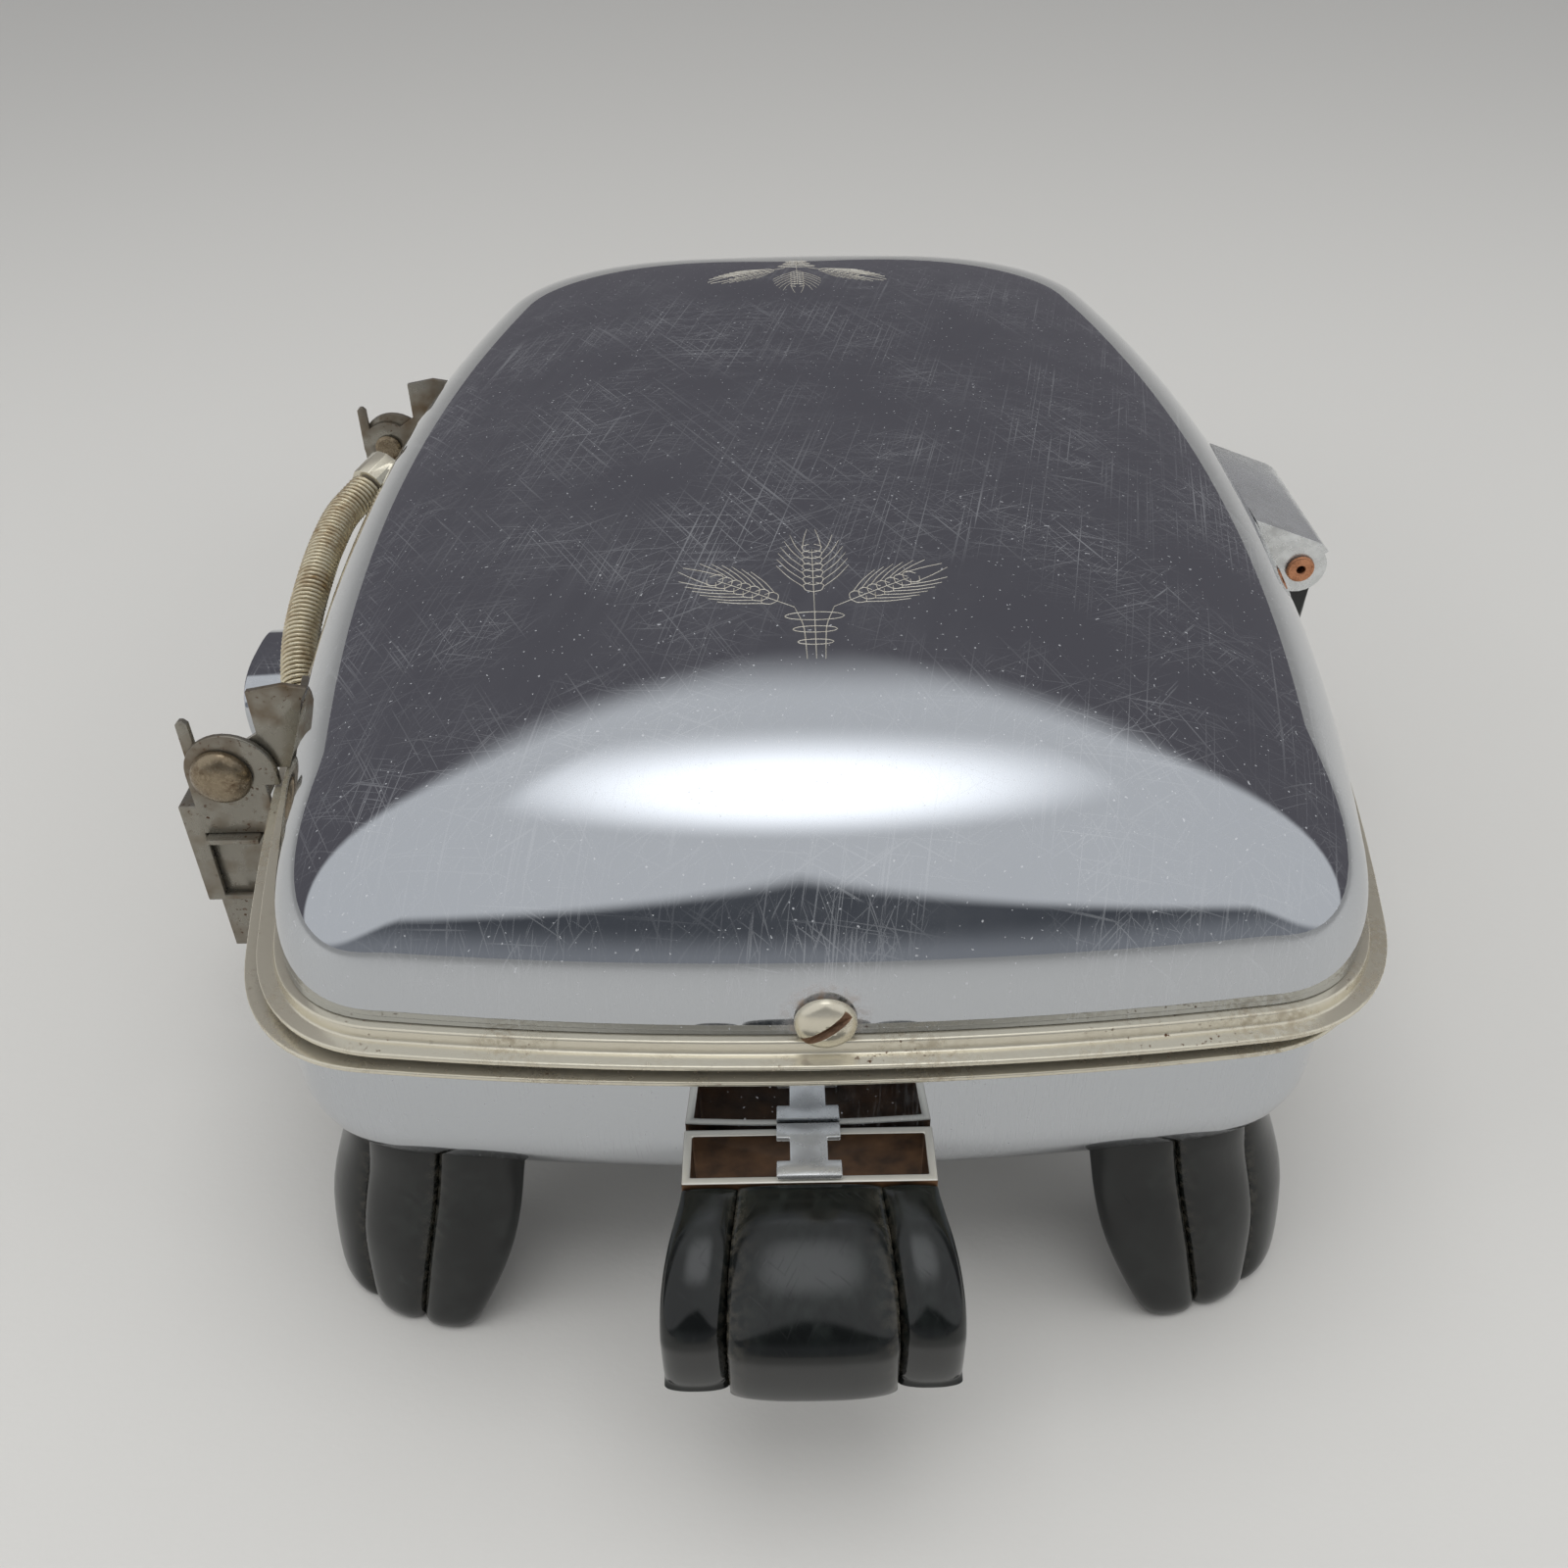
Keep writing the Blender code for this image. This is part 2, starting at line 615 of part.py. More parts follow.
def cast_grid(name, base, up, parent, shift=0.0):
    """A cast grid: a plate with a drip edge round it and ribs along it, facing the other grid."""
    back = base + up * GRID_BACK
    face = base + up * GRID_FACE
    top = base + up * GRID_TOP
    sunk = face + up * GAP
    wall_in = GRID_INSET + DRIP_EDGE_WIDTH
    rings = [
        rim_ring(GRID_INSET, back, shift),
        rim_ring(GRID_INSET, top, shift),
        rim_ring(wall_in, top, shift),
        rim_ring(wall_in, face, shift),
    ]
    plate = add_mesh(name, loft(rings), CAST, parent, 30.0)
    ribs = bmesh.new()
    for number in range(RIB_COUNT):
        x = (number - (RIB_COUNT - 1) / 2) * RIB_PITCH + shift
        foot = RIB_WIDTH / 2
        crest = RIB_WIDTH / 4
        outline = ((x - foot, sunk), (x + foot, sunk), (x + crest, top), (x - crest, top))
        join(ribs, extruded(outline, "Y", -RIB_HALF_LENGTH, RIB_HALF_LENGTH))
    return boolean(plate, add_mesh(name + "_ribs", ribs, CAST, parent), "UNION")


lower_grid = cast_grid("lower_grid", RIM_HEIGHT, -1, press)
upper_grid = cast_grid("upper_grid", LID_BASE, 1, lid_pivot, LID_SHIFT)


def grid_clip(name, base, up, end, parent, shift=0.0):
    """A spring clip between the riser and the grid, hooked over the grid's edge."""
    riser = RIM_HALF_LENGTH - RISER_INSET - RIM_SHEET - GAP
    foot = base + up * (LEDGE_DEPTH - GAP)
    over = base + up * (GRID_TOP - GAP)
    lip = base + up * (GRID_TOP - GAP - CLIP_SHEET)
    outline = [
        (end * riser, foot),
        (end * riser, lip),
        (end * (riser - CLIP_LIP), lip),
        (end * (riser - CLIP_LIP), over),
        (end * (riser - CLIP_SHEET), over),
        (end * (riser - CLIP_SHEET), foot),
    ]
    shape = extruded(outline, "X", shift - CLIP_HALF_WIDTH, shift + CLIP_HALF_WIDTH)
    return add_mesh(name, shape, STEEL, parent)


for word, end in (("front", -1), ("rear", 1)):
    grid_clip("lower_grid_clip_" + word, RIM_HEIGHT, -1, end, press)
    grid_clip("upper_grid_clip_" + word, LID_BASE, 1, end, lid_pivot, LID_SHIFT)


def rounded_path(corners, radius, steps):
    """Straight runs through the corners with round bends of one radius."""
    points = [Vector(corners[0])]
    for before, corner, after in zip(corners, corners[1:], corners[2:]):
        corner = Vector(corner)
        back = (Vector(before) - corner).normalized()
        ahead = (Vector(after) - corner).normalized()
        for step in range(steps + 1):
            share = step / steps
            start = corner + back * radius
            end = corner + ahead * radius
            blend = start.lerp(corner, share).lerp(corner.lerp(end, share), share)
            points.append(blend)
    points.append(Vector(corners[-1]))
    return points


def tube(name, points, radius, resolution, finish, parent):
    """A round tube along a list of points in the press's own coordinates."""
    curve = bpy.data.curves.new(name, "CURVE")
    curve.dimensions = "3D"
    curve.bevel_depth = radius
    curve.bevel_resolution = resolution
    curve.use_fill_caps = True
    line = curve.splines.new("POLY")
    line.points.add(len(points) - 1)
    for place, point in zip(line.points, points):
        place.co = (*(Vector(point) - Vector(parent["place"])), 1.0)
    curve.materials.append(finish)
    made = bpy.data.objects.new(name, curve)
    bpy.context.scene.collection.objects.link(made)
    made.parent = parent
    return made


def element_route(height, shift):
    """Out along the hinge side, in and out of two inner loops, and back to the hinge side."""
    wide, long = ELEMENT_HALF_WIDTH, ELEMENT_HALF_LENGTH
    inner_x, inner_y = ELEMENT_INNER_X, ELEMENT_INNER_Y
    quarter = [(-wide, -ELEMENT_END_Y), (-wide, -long), (-inner_x, -long), (-inner_x, -inner_y)]
    half = quarter + [(-x, y) for x, y in reversed(quarter[1:])]
    flat = half + [(x, -y) for x, y in reversed(half)]
    return [(x + shift, y, height) for x, y in flat]


def heater(prefix, base, up, parent, shift=0.0):
    """An element on two ceramic bars, in front of a bright reflector tray."""
    centre = base + up * ELEMENT_DROP
    route = rounded_path(element_route(centre, shift), ELEMENT_BEND, 2)
    tube(prefix + "_element", route, ELEMENT_RADIUS, 1, ELEMENT, parent)
    near = centre + up * (ELEMENT_RADIUS + GAP)
    far = near + up * BAR_HEIGHT
    for word, side in (("front", -1), ("rear", 1)):
        y = side * BAR_OFFSET
        low = (shift - BAR_HALF_LENGTH, y - BAR_WIDTH / 2, min(near, far))
        high = (shift + BAR_HALF_LENGTH, y + BAR_WIDTH / 2, max(near, far))
        add_mesh(prefix + "_element_bar_" + word, box(low, high), CERAMIC, parent)
    tray = far + up * GAP
    back = tray + up * REFLECTOR_SHEET
    inset_at = bowl_inset if up < 0 else dome_inset
    wall = inset_at(back)
    edge = -SHELL_WALL - REFLECTOR_GAP
    turn = edge - REFLECTOR_SHEET
    lip = tray - up * REFLECTOR_EDGE
    section = ((edge, back), (edge, lip), (turn, lip), (turn, tray))
    rings = [shell_ring(wall, offset, height, shift) for offset, height in section]
    return add_mesh(prefix + "_reflector", loft(rings), BRIGHT, parent)


lower_reflector = heater("lower", RIM_HEIGHT, -1, press)
heater("upper", LID_BASE, 1, lid_pivot, LID_SHIFT)


# Holes for screws, and small turned pieces


def drill(target, name, centre, axis, start, end, radius, parent):
    """Cuts a round hole along an axis, with a hidden rod."""
    rod_shape = rod(centre, axis, start, end, radius)
    return boolean(target, add_mesh(name, rod_shape, STEEL, parent), "DIFFERENCE")


def headed_pin(name, centre, axis, radius, length, head_radius, head_height, finish, parent):
    """A round-headed screw or bolt: its head rises along the axis, its shank runs back from the centre."""
    profile = [(radius, -length), (radius, 0.0)]
    profile += [(head_radius * across, head_height * along) for across, along in PIN_HEAD_SHARES]
    return add_mesh(name, loft(turned(profile, centre, axis)), finish, parent)


# Claw feet


def mirrored(values, sign):
    """A list that starts at the middle, spread to both sides."""
    return [sign * value for value in reversed(values[1:])] + list(values)


def foot(name, side, end):
    """One moulding of three lobes, drawn as sections turned about the corner's centre."""
    tops = mirrored(FOOT_TOP_TURNS, -1)
    tips = mirrored(FOOT_TIP_TURNS, -1)
    grooves = mirrored(FOOT_GROOVE_SHARES, 1)
    rings = []
    for top, tip, groove in zip(tops, tips, grooves):
        ring = []
        for reach, rise, cut in FOOT_SECTION_SHARES:
            turn = math.radians(FOOT_TURN_DEG + tip + (top - tip) * rise)
            radius = reach * FOOT_REACH - cut * groove * FOOT_GROOVE
            x = FOOT_CENTRE_X + radius * math.sin(turn)
            y = FOOT_CENTRE_Y + radius * math.cos(turn)
            ring.append((side * x, end * y, rise * FOOT_RISE))
        rings.append(ring)
    made = add_mesh(name, loft(rings), BAKELITE, press, 40.0)
    return boolean(made, bowl_seat, "DIFFERENCE")


bowl_surface = bmesh.new()
bowl_surface.from_mesh(base_shell.data)
bowl_tree = BVHTree.FromBMesh(bowl_surface)
bowl_surface.free()

for side, hand in ((-1, "left"), (1, "right")):
    for end, word in ((-1, "front"), (1, "rear")):
        name = "foot_" + word + "_" + hand
        made = foot(name, side, end)
        turn = math.radians(FOOT_TURN_DEG)
        x = side * (FOOT_CENTRE_X + FOOT_SCREW_PLACE * math.sin(turn))
        y = end * (FOOT_CENTRE_Y + FOOT_SCREW_PLACE * math.cos(turn))
        hit, normal, _, _ = bowl_tree.ray_cast(Vector((x, y, BOWL_TOP)), Vector((0.0, 0.0, -1.0)))
        place = hit + normal * 2 * GAP
        headed_pin(
            "foot_screw_" + word + "_" + hand,
            place,
            normal,
            FOOT_SCREW_RADIUS,
            FOOT_SCREW_DEPTH,
            FOOT_SCREW_HEAD,
            FOOT_SCREW_HEAD_HEIGHT,
            STEEL,
            press,
        )
        hole = FOOT_SCREW_RADIUS + GAP
        drill(made, name + "_hole", hit, normal, -FOOT_SCREW_DEPTH, OVERRUN, hole, press)
        drill(base_shell, name + "_shell_hole", hit, normal, -OVERRUN, OVERRUN, hole, press)


# End handles on their brackets


def end_handle(word, end):
    back = RIM_HALF_LENGTH - SHELL_INSET + GAP
    front = back + BRACKET_REACH
    top = RIM_HEIGHT - BRACKET_TOP_DROP
    low = top - BRACKET_HEIGHT
    half = BRACKET_HALF_WIDTH
    outside = box((-half, min(end * back, end * front), low), (half, max(end * back, end * front), top))
    bracket = add_mesh("end_bracket_" + word, outside, STEEL, press)
    inner = (end * (back + BRACKET_SHEET), end * (front - BRACKET_SHEET))
    reach = half - BRACKET_SHEET
    core = box((-reach, min(inner), low - OVERRUN), (reach, max(inner), top + OVERRUN))
    boolean(bracket, add_mesh("bracket_core_" + word, core, STEEL, press), "DIFFERENCE")

    wide, waist = STRAP_HALF_WIDTH, STRAP_WAIST
    near, far = back, front - GAP
    right = [(wide, near), (wide, near + STRAP_FOOT), (waist, near + STRAP_FOOT)]
    right += [(waist, far - STRAP_FOOT), (wide, far - STRAP_FOOT), (wide, far)]
    outline = right + [(-x, y) for x, y in reversed(right)]
    strap_low = top + GAP
    strap = loft([[(x, end * y, z) for x, y in outline] for z in (strap_low, strap_low + STRAP_SHEET)])
    add_mesh("bracket_strap_" + word, strap, STEEL, press)

    root = front + GAP
    crest = RIM_HEIGHT - HANDLE_TOP_DROP
    widths = mirrored(HANDLE_WIDTH_SHARES, -1)
    grooves = mirrored(HANDLE_GROOVE_SHARES, 1)
    backs = mirrored(HANDLE_BACK_SHARES, 1)
    rings = []
    for width, groove, behind in zip(widths, grooves, backs):
        ring = []
        for reach, drop, cut in HANDLE_SECTION_SHARES:
            inwards = cut * (groove * HANDLE_GROOVE + behind * HANDLE_SETBACK) * reach
            down = cut * (groove * HANDLE_GROOVE * (1 - drop) + behind * HANDLE_LOBE_DROP * (1 - drop))
            spread = HANDLE_ROOT_HALF_WIDTH + (HANDLE_HALF_WIDTH - HANDLE_ROOT_HALF_WIDTH) * reach
            y = root + reach * HANDLE_REACH - inwards
            ring.append((width * spread, end * y, crest - drop * HANDLE_HEIGHT - down))
        rings.append(ring)
    handle = add_mesh("end_handle_" + word, loft(rings), BAKELITE, press, 40.0)

    height = RIM_HEIGHT - HANDLE_BOLT_DROP
    deepest = bowl_inset(height - HANDLE_BOLT_HEAD)
    wall = RIM_HALF_LENGTH - deepest - SHELL_WALL - HANDLE_BOLT_CLEARANCE
    centre = (0.0, end * wall, height)
    inward = (0.0, -end, 0.0)
    headed_pin(
        "handle_bolt_" + word,
        centre,
        inward,
        HANDLE_BOLT_RADIUS,
        HANDLE_BOLT_LENGTH,
        HANDLE_BOLT_HEAD,
        HANDLE_BOLT_HEAD_HEIGHT,
        STEEL,
        press,
    )
    hole = HANDLE_BOLT_RADIUS + GAP
    far_end = -HANDLE_BOLT_LENGTH - GAP
    for target in (base_shell, bracket, handle):
        drill(target, target.name + "_bolt_" + word, centre, inward, far_end, 0.0, hole, press)


end_handle("front", -1)
end_handle("rear", 1)


# Floating hinges: a guide on the base, a link that slides in it, and an arm on the lid


def pivot_plate(outline, near, far):
    """An outline about the pivot, carried along Y."""
    placed = [(PIVOT_X + x, PIVOT_Z + z) for x, z in outline]
    return extruded(placed, "Y", near, far)


def side_patch(inset_at, heights, start, end, thickness, shift):
    """A strip that follows a shell's hinge side, from inside the shell to a thickness outside it."""
    rings = []
    for step in range(5):
        y = start + (end - start) * step / 4
        outside = []
        inside = []
        for height in heights:
            inset = inset_at(height)
            outside.append((shift - side_reach(inset - GAP - thickness, y), y, height))
            inside.append((shift - side_reach(inset + SHELL_WALL, y), y, height))
        rings.append(outside + inside[::-1])
    return loft(rings)


def spread_values(low, high, steps):
    return [low + (high - low) * step / steps for step in range(steps + 1)]


def hinge(word, end):
    out = end * HINGE_OFFSET
    link_in = end * (HINGE_OFFSET - PLATE)
    link_mid = end * (HINGE_OFFSET - PLATE / 2)
    arm_out = end * (HINGE_OFFSET - PLATE - GAP)
    arm_mid = end * (HINGE_OFFSET - PLATE * 1.5 - GAP)
    arm_in = end * (HINGE_OFFSET - 2 * PLATE - GAP)
    away = (0.0, end, 0.0)
    centre = (PIVOT_X, 0.0, PIVOT_Z)

    # The link: a windowed plate with an ear for the pivot and a shelf that stops the lid
    outline = [(-LINK_LEFT, -LINK_DROP), (LINK_RIGHT, -LINK_DROP), (LINK_RIGHT, -EAR_LOW)]
    outline += [(EAR_CENTRE + EAR_RADIUS, -EAR_LOW)]
    outline += arc((EAR_CENTRE, 0.0), EAR_RADIUS, 0, 180, 18)
    outline += [(EAR_CENTRE - EAR_RADIUS, -SHELF_DROP), (-LINK_LEFT, -SHELF_DROP)]
    link = add_mesh("hinge_link_" + word, pivot_plate(outline, out, link_in), STEEL, hinge_slide)
    shelf_low = SHELF_DROP + PLATE
    shelf = [(-LINK_LEFT, -shelf_low), (SHELF_RIGHT, -shelf_low), (SHELF_RIGHT, -SHELF_DROP)]
    shelf += [(-LINK_LEFT, -SHELF_DROP)]
    shelf_end = link_in - end * SHELF_DEPTH
    shelf_shape = pivot_plate(shelf, link_mid, shelf_end)
    boolean(link, add_mesh("shelf_" + word, shelf_shape, STEEL, hinge_slide), "UNION")
    window = [(-WINDOW_LEFT, -WINDOW_LOW), (WINDOW_RIGHT, -WINDOW_LOW)]
    window += [(WINDOW_RIGHT, -WINDOW_HIGH), (-WINDOW_LEFT, -WINDOW_HIGH)]
    opening = pivot_plate(window, out + end * OVERRUN, link_in - end * OVERRUN)
    boolean(link, add_mesh("window_" + word, opening, STEEL, hinge_slide), "DIFFERENCE")

    # The guide: a plate on the base's side whose lip passes through the link's window
    lip_top = WINDOW_HIGH + GAP
    outline = [(-GUIDE_LEFT, -GUIDE_DROP), (GUIDE_TOE_RIGHT, -GUIDE_DROP)]
    outline += [(GUIDE_RIGHT, -GUIDE_WAIST_DROP), (GUIDE_RIGHT, -lip_top), (-GUIDE_LEFT, -lip_top)]
    guide = add_mesh("hinge_guide_" + word, pivot_plate(outline, arm_out, arm_in), STEEL, press)
    lip_low = lip_top + GUIDE_LIP
    left = WINDOW_LEFT - GUIDE_LIP_SIDE
    right = WINDOW_RIGHT - GUIDE_LIP_SIDE
    lip = [(-left, -lip_low), (right, -lip_low), (right, -lip_top), (-left, -lip_top)]
    lip_shape = pivot_plate(lip, arm_mid, out + end * GUIDE_LIP_REACH)
    boolean(guide, add_mesh("guide_lip_" + word, lip_shape, STEEL, press), "UNION")
    heights = spread_values(PIVOT_Z - GUIDE_FLANGE_LOW, PIVOT_Z - GUIDE_FLANGE_HIGH, 6)
    patch = side_patch(bowl_inset, heights, arm_in - end * GUIDE_FLANGE_DEPTH, arm_mid, PLATE, 0.0)
    boolean(guide, add_mesh("guide_flange_" + word, patch, STEEL, press), "UNION")
    boolean(guide, bowl_seat, "DIFFERENCE")

    # The arm: a disc on the pivot, a neck over the rim, a sector up the shell and a hook that stops the lid
    disc = ARM_DISC_RADIUS
    hook_in = HOOK_REACH - HOOK_THICKNESS
    chamfer = HOOK_THICKNESS / 3
    outline = arc((0.0, 0.0), disc, *ARM_DISC_UNDER_DEG, 14)
    outline += [(ARM_NECK_X, ARM_NECK_Z), (ARM_STEP_X, ARM_NECK_Z), (ARM_STEP_X, ARM_STEP_Z)]
    outline += [(ARM_ROOT_X, ARM_STEP_Z), (ARM_ROOT_X, ARM_SECTOR_TOP)]
    outline += [((ARM_ROOT_X + ARM_SECTOR_LEFT) / 2, ARM_SECTOR_TOP + ARM_SECTOR_CROWN)]
    outline += [(ARM_SECTOR_LEFT, ARM_SECTOR_TOP), (ARM_SECTOR_LEFT, ARM_SECTOR_NOTCH)]
    outline += arc((0.0, 0.0), disc, *ARM_DISC_OVER_DEG, 6)
    outline += [(-hook_in, HOOK_RISE - chamfer), (-hook_in - chamfer, HOOK_RISE)]
    outline += [(-HOOK_REACH + chamfer, HOOK_RISE), (-HOOK_REACH, HOOK_RISE - chamfer)]
    arm = add_mesh("hinge_arm_" + word, pivot_plate(outline, arm_out, arm_in), STEEL, lid_pivot)
    heights = spread_values(PIVOT_Z + ARM_FLANGE_LOW, PIVOT_Z + ARM_FLANGE_HIGH, 6)
    start = arm_in - end * ARM_FLANGE_DEPTH
    patch = side_patch(dome_inset, heights, start, arm_mid, PLATE, LID_SHIFT)
    boolean(arm, add_mesh("arm_flange_" + word, patch, STEEL, lid_pivot), "UNION")
    boolean(arm, dome_seat, "DIFFERENCE")

    # The rivet through ear and disc
    hole = RIVET_RADIUS + GAP
    drill(link, "link_eye_" + word, centre, away, HINGE_OFFSET / 2, HINGE_OFFSET + OVERRUN, hole, hinge_slide)
    drill(arm, "arm_eye_" + word, centre, away, HINGE_OFFSET / 2, HINGE_OFFSET + OVERRUN, hole, lid_pivot)
    tail = HINGE_OFFSET - 2 * PLATE - 2 * GAP
    head = HINGE_OFFSET + GAP
    profile = [(RIVET_TAIL_RADIUS * r, tail - RIVET_TAIL_HEIGHT * z) for r, z in RIVET_TAIL_SHARES]
    profile += [(RIVET_RADIUS, tail), (RIVET_RADIUS, head)]
    profile += [(RIVET_HEAD_RADIUS * r, head + RIVET_HEAD_HEIGHT * z) for r, z in RIVET_HEAD_SHARES]
    add_mesh("hinge_rivet_" + word, loft(turned(profile, centre, away)), BRONZE, hinge_slide)


hinge("front", -1)
hinge("rear", 1)


# The lid's slotted screws


def lid_screw(word, end):
    height = LID_BASE + LID_SCREW_RISE
    wall = RIM_HALF_LENGTH - dome_inset(height) + GAP
    centre = (LID_SHIFT, end * wall, height)
    away = (0.0, end, 0.0)
    screw = headed_pin(
        "lid_screw_" + word,
        centre,
        away,
        LID_SCREW_RADIUS,
        LID_SCREW_LENGTH,
        LID_SCREW_HEAD,
        LID_SCREW_HEAD_HEIGHT,
        NICKEL,
        lid_pivot,
    )
    hole = LID_SCREW_RADIUS + GAP
    for target in (lid_shell, lid_rim):
        name = target.name + "_screw_" + word
        drill(target, name, centre, away, -LID_SCREW_LENGTH - OVERRUN / 4, OVERRUN, hole, lid_pivot)
    recess = LID_SCREW_HEAD + GAP
    drill(lid_rim, "rim_recess_" + word, centre, away, -GAP, OVERRUN, recess, lid_pivot)
    turn = math.radians(SLOT_TURN_DEG)
    along = Vector((math.cos(turn), 0.0, math.sin(turn)))
    across = Vector((-math.sin(turn), 0.0, math.cos(turn))) * SLOT_WIDTH / 2
    reach = LID_SCREW_HEAD + OVERRUN
    middle = Vector(centre)
    ahead = along * reach
    corners = (ahead + across, across - ahead, -ahead - across, ahead - across)
    floor = LID_SCREW_HEAD_HEIGHT - SLOT_DEPTH
    depths = (floor, LID_SCREW_HEAD_HEIGHT + OVERRUN)
    rings = [[middle + corner + Vector(away) * depth for corner in corners] for depth in depths]
    boolean(screw, add_mesh("slot_" + word, loft(rings), STEEL, lid_pivot), "DIFFERENCE")


lid_screw("front", -1)
lid_screw("rear", 1)


# The lid's handle under its hood


def hood_outline(radius, root_drop):
    """Over the eyelets' axis, then along the tangent up to the shell."""
    curve = arc((EYE_X, EYE_Z), radius, HOOD_START_DEG, HOOD_END_DEG, 5)
    turn = math.radians(HOOD_END_DEG)
    x, z = curve[-1]
    run = x - HOOD_ROOT_X
    return curve + [(HOOD_ROOT_X, z + run / math.tan(turn) - root_drop)]


foot_level = RIM_HEIGHT + HOOD_FOOT_RISE
outline = [(HOOD_ROOT_X, foot_level)]
outline += arc((EYE_X, EYE_Z), EAR_DISC_RADIUS, EAR_DISC_START_DEG, HOOD_START_DEG, 10)
outline += hood_outline(HOOD_RADIUS, 0.0)
hood_shape = extruded(outline, "Y", -HOOD_HALF_LENGTH, HOOD_HALF_LENGTH)
hood = add_mesh("lid_handle_bracket", hood_shape, NICKEL, lid_pivot)
inner = hood_outline(HOOD_RADIUS - HOOD_SHEET, 0.0)
turn = math.radians(HOOD_START_DEG)
clear = HOOD_RADIUS * 3
low = foot_level - OVERRUN
inner += [(HOOD_ROOT_X, low), (EYE_X + clear, low)]
inner += [(EYE_X + clear * math.cos(turn), EYE_Z + clear * math.sin(turn))]
inner_half = HOOD_HALF_LENGTH - HOOD_SHEET
room_shape = extruded(inner, "Y", -inner_half, inner_half)
boolean(hood, add_mesh("hood_room", room_shape, NICKEL, lid_pivot), "DIFFERENCE")
boolean(hood, dome_seat, "DIFFERENCE")

grip_half = inner_half - GRIP_CLEARANCE
widths = mirrored(GRIP_WIDTH_SHARES, -1)
grooves = mirrored(GRIP_GROOVE_SHARES, 1)
backs = mirrored(GRIP_BACK_SHARES, 1)
rings = []
for width, groove, behind in zip(widths, grooves, backs):
    ring = []
    for reach, drop, cut in GRIP_SECTION_SHARES:
        depth = cut * (groove * GRIP_GROOVE + behind * GRIP_SETBACK)
        ring.append((EYE_X + reach * GRIP_LIP - depth, width * grip_half, EYE_Z - drop * GRIP_DROP))
    for x, z in arc((EYE_X, EYE_Z), GRIP_BOSS_RADIUS, *GRIP_BOSS_DEG, 8):
        ring.append((x, width * grip_half, z))
    rings.append(ring)
grip = add_mesh("lid_handle", loft(rings), BAKELITE, handle_pivot, 40.0)

for word, end in (("front", -1), ("rear", 1)):
    away = (0.0, end, 0.0)
    centre = (EYE_X, 0.0, EYE_Z)
    face = HOOD_HALF_LENGTH + GAP
    tip = face - EYELET_DEPTH
    hole = EYELET_RADIUS + GAP
    drill(hood, "hood_eye_" + word, centre, away, tip, face + OVERRUN, hole, lid_pivot)
    drill(grip, "grip_eye_" + word, centre, away, tip - GAP, face + OVERRUN, hole, handle_pivot)
    profile = [
        (EYELET_BORE, tip),
        (EYELET_RADIUS, tip),
        (EYELET_RADIUS, face),
        (EYELET_FLANGE_RADIUS, face),
        (EYELET_FLANGE_RADIUS * EYELET_BEVEL_SHARE, face + EYELET_FLANGE),
        (EYELET_BORE, face + EYELET_FLANGE),
    ]
    rings = turned(profile, centre, away)
    add_mesh("lid_eyelet_" + word, loft(rings, closed=True), COPPER, lid_pivot)


# The plug guard, its terminal block, pins and leads


def rounded_outline(half_width, half_height, corner, middle, steps):
    points = []
    for quarter, (sy, sz) in enumerate(((1, 1), (-1, 1), (-1, -1), (1, -1))):
        centre = (sy * (half_width - corner), middle + sz * (half_height - corner))
        points += arc(centre, corner, 90 * quarter, 90 * (quarter + 1), steps)
    return points


corner = GUARD_HALF_HEIGHT * GUARD_CORNER_SHARE
outline = rounded_outline(GUARD_HALF_WIDTH, GUARD_HALF_HEIGHT, corner, GUARD_Z, 5)
guard = add_mesh("plug_guard", extruded(outline, "X", -GUARD_REACH, -GUARD_ROOT), CHROME, press)
thin = GUARD_SHEET
outline = rounded_outline(GUARD_HALF_WIDTH - thin, GUARD_HALF_HEIGHT - thin, corner - thin, GUARD_Z, 5)
room = extruded(outline, "X", -GUARD_REACH - OVERRUN, -GUARD_ROOT + OVERRUN)
boolean(guard, add_mesh("guard_room", room, CHROME, press), "DIFFERENCE")
boolean(guard, bowl_seat, "DIFFERENCE")

corner = BLOCK_HALF_HEIGHT / 3
outline = rounded_outline(BLOCK_HALF_WIDTH, BLOCK_HALF_HEIGHT, corner, GUARD_Z, 2)
block = add_mesh("terminal_block", extruded(outline, "X", -BLOCK_FACE, -BLOCK_BACK), CERAMIC, press)
outline = rounded_outline(BLOCK_HALF_WIDTH + GAP, BLOCK_HALF_HEIGHT + GAP, corner, GUARD_Z, 2)
room = extruded(outline, "X", -BLOCK_FACE - OVERRUN, -BLOCK_BACK + OVERRUN)
boolean(base_shell, add_mesh("block_room", room, CHROME, press), "DIFFERENCE")

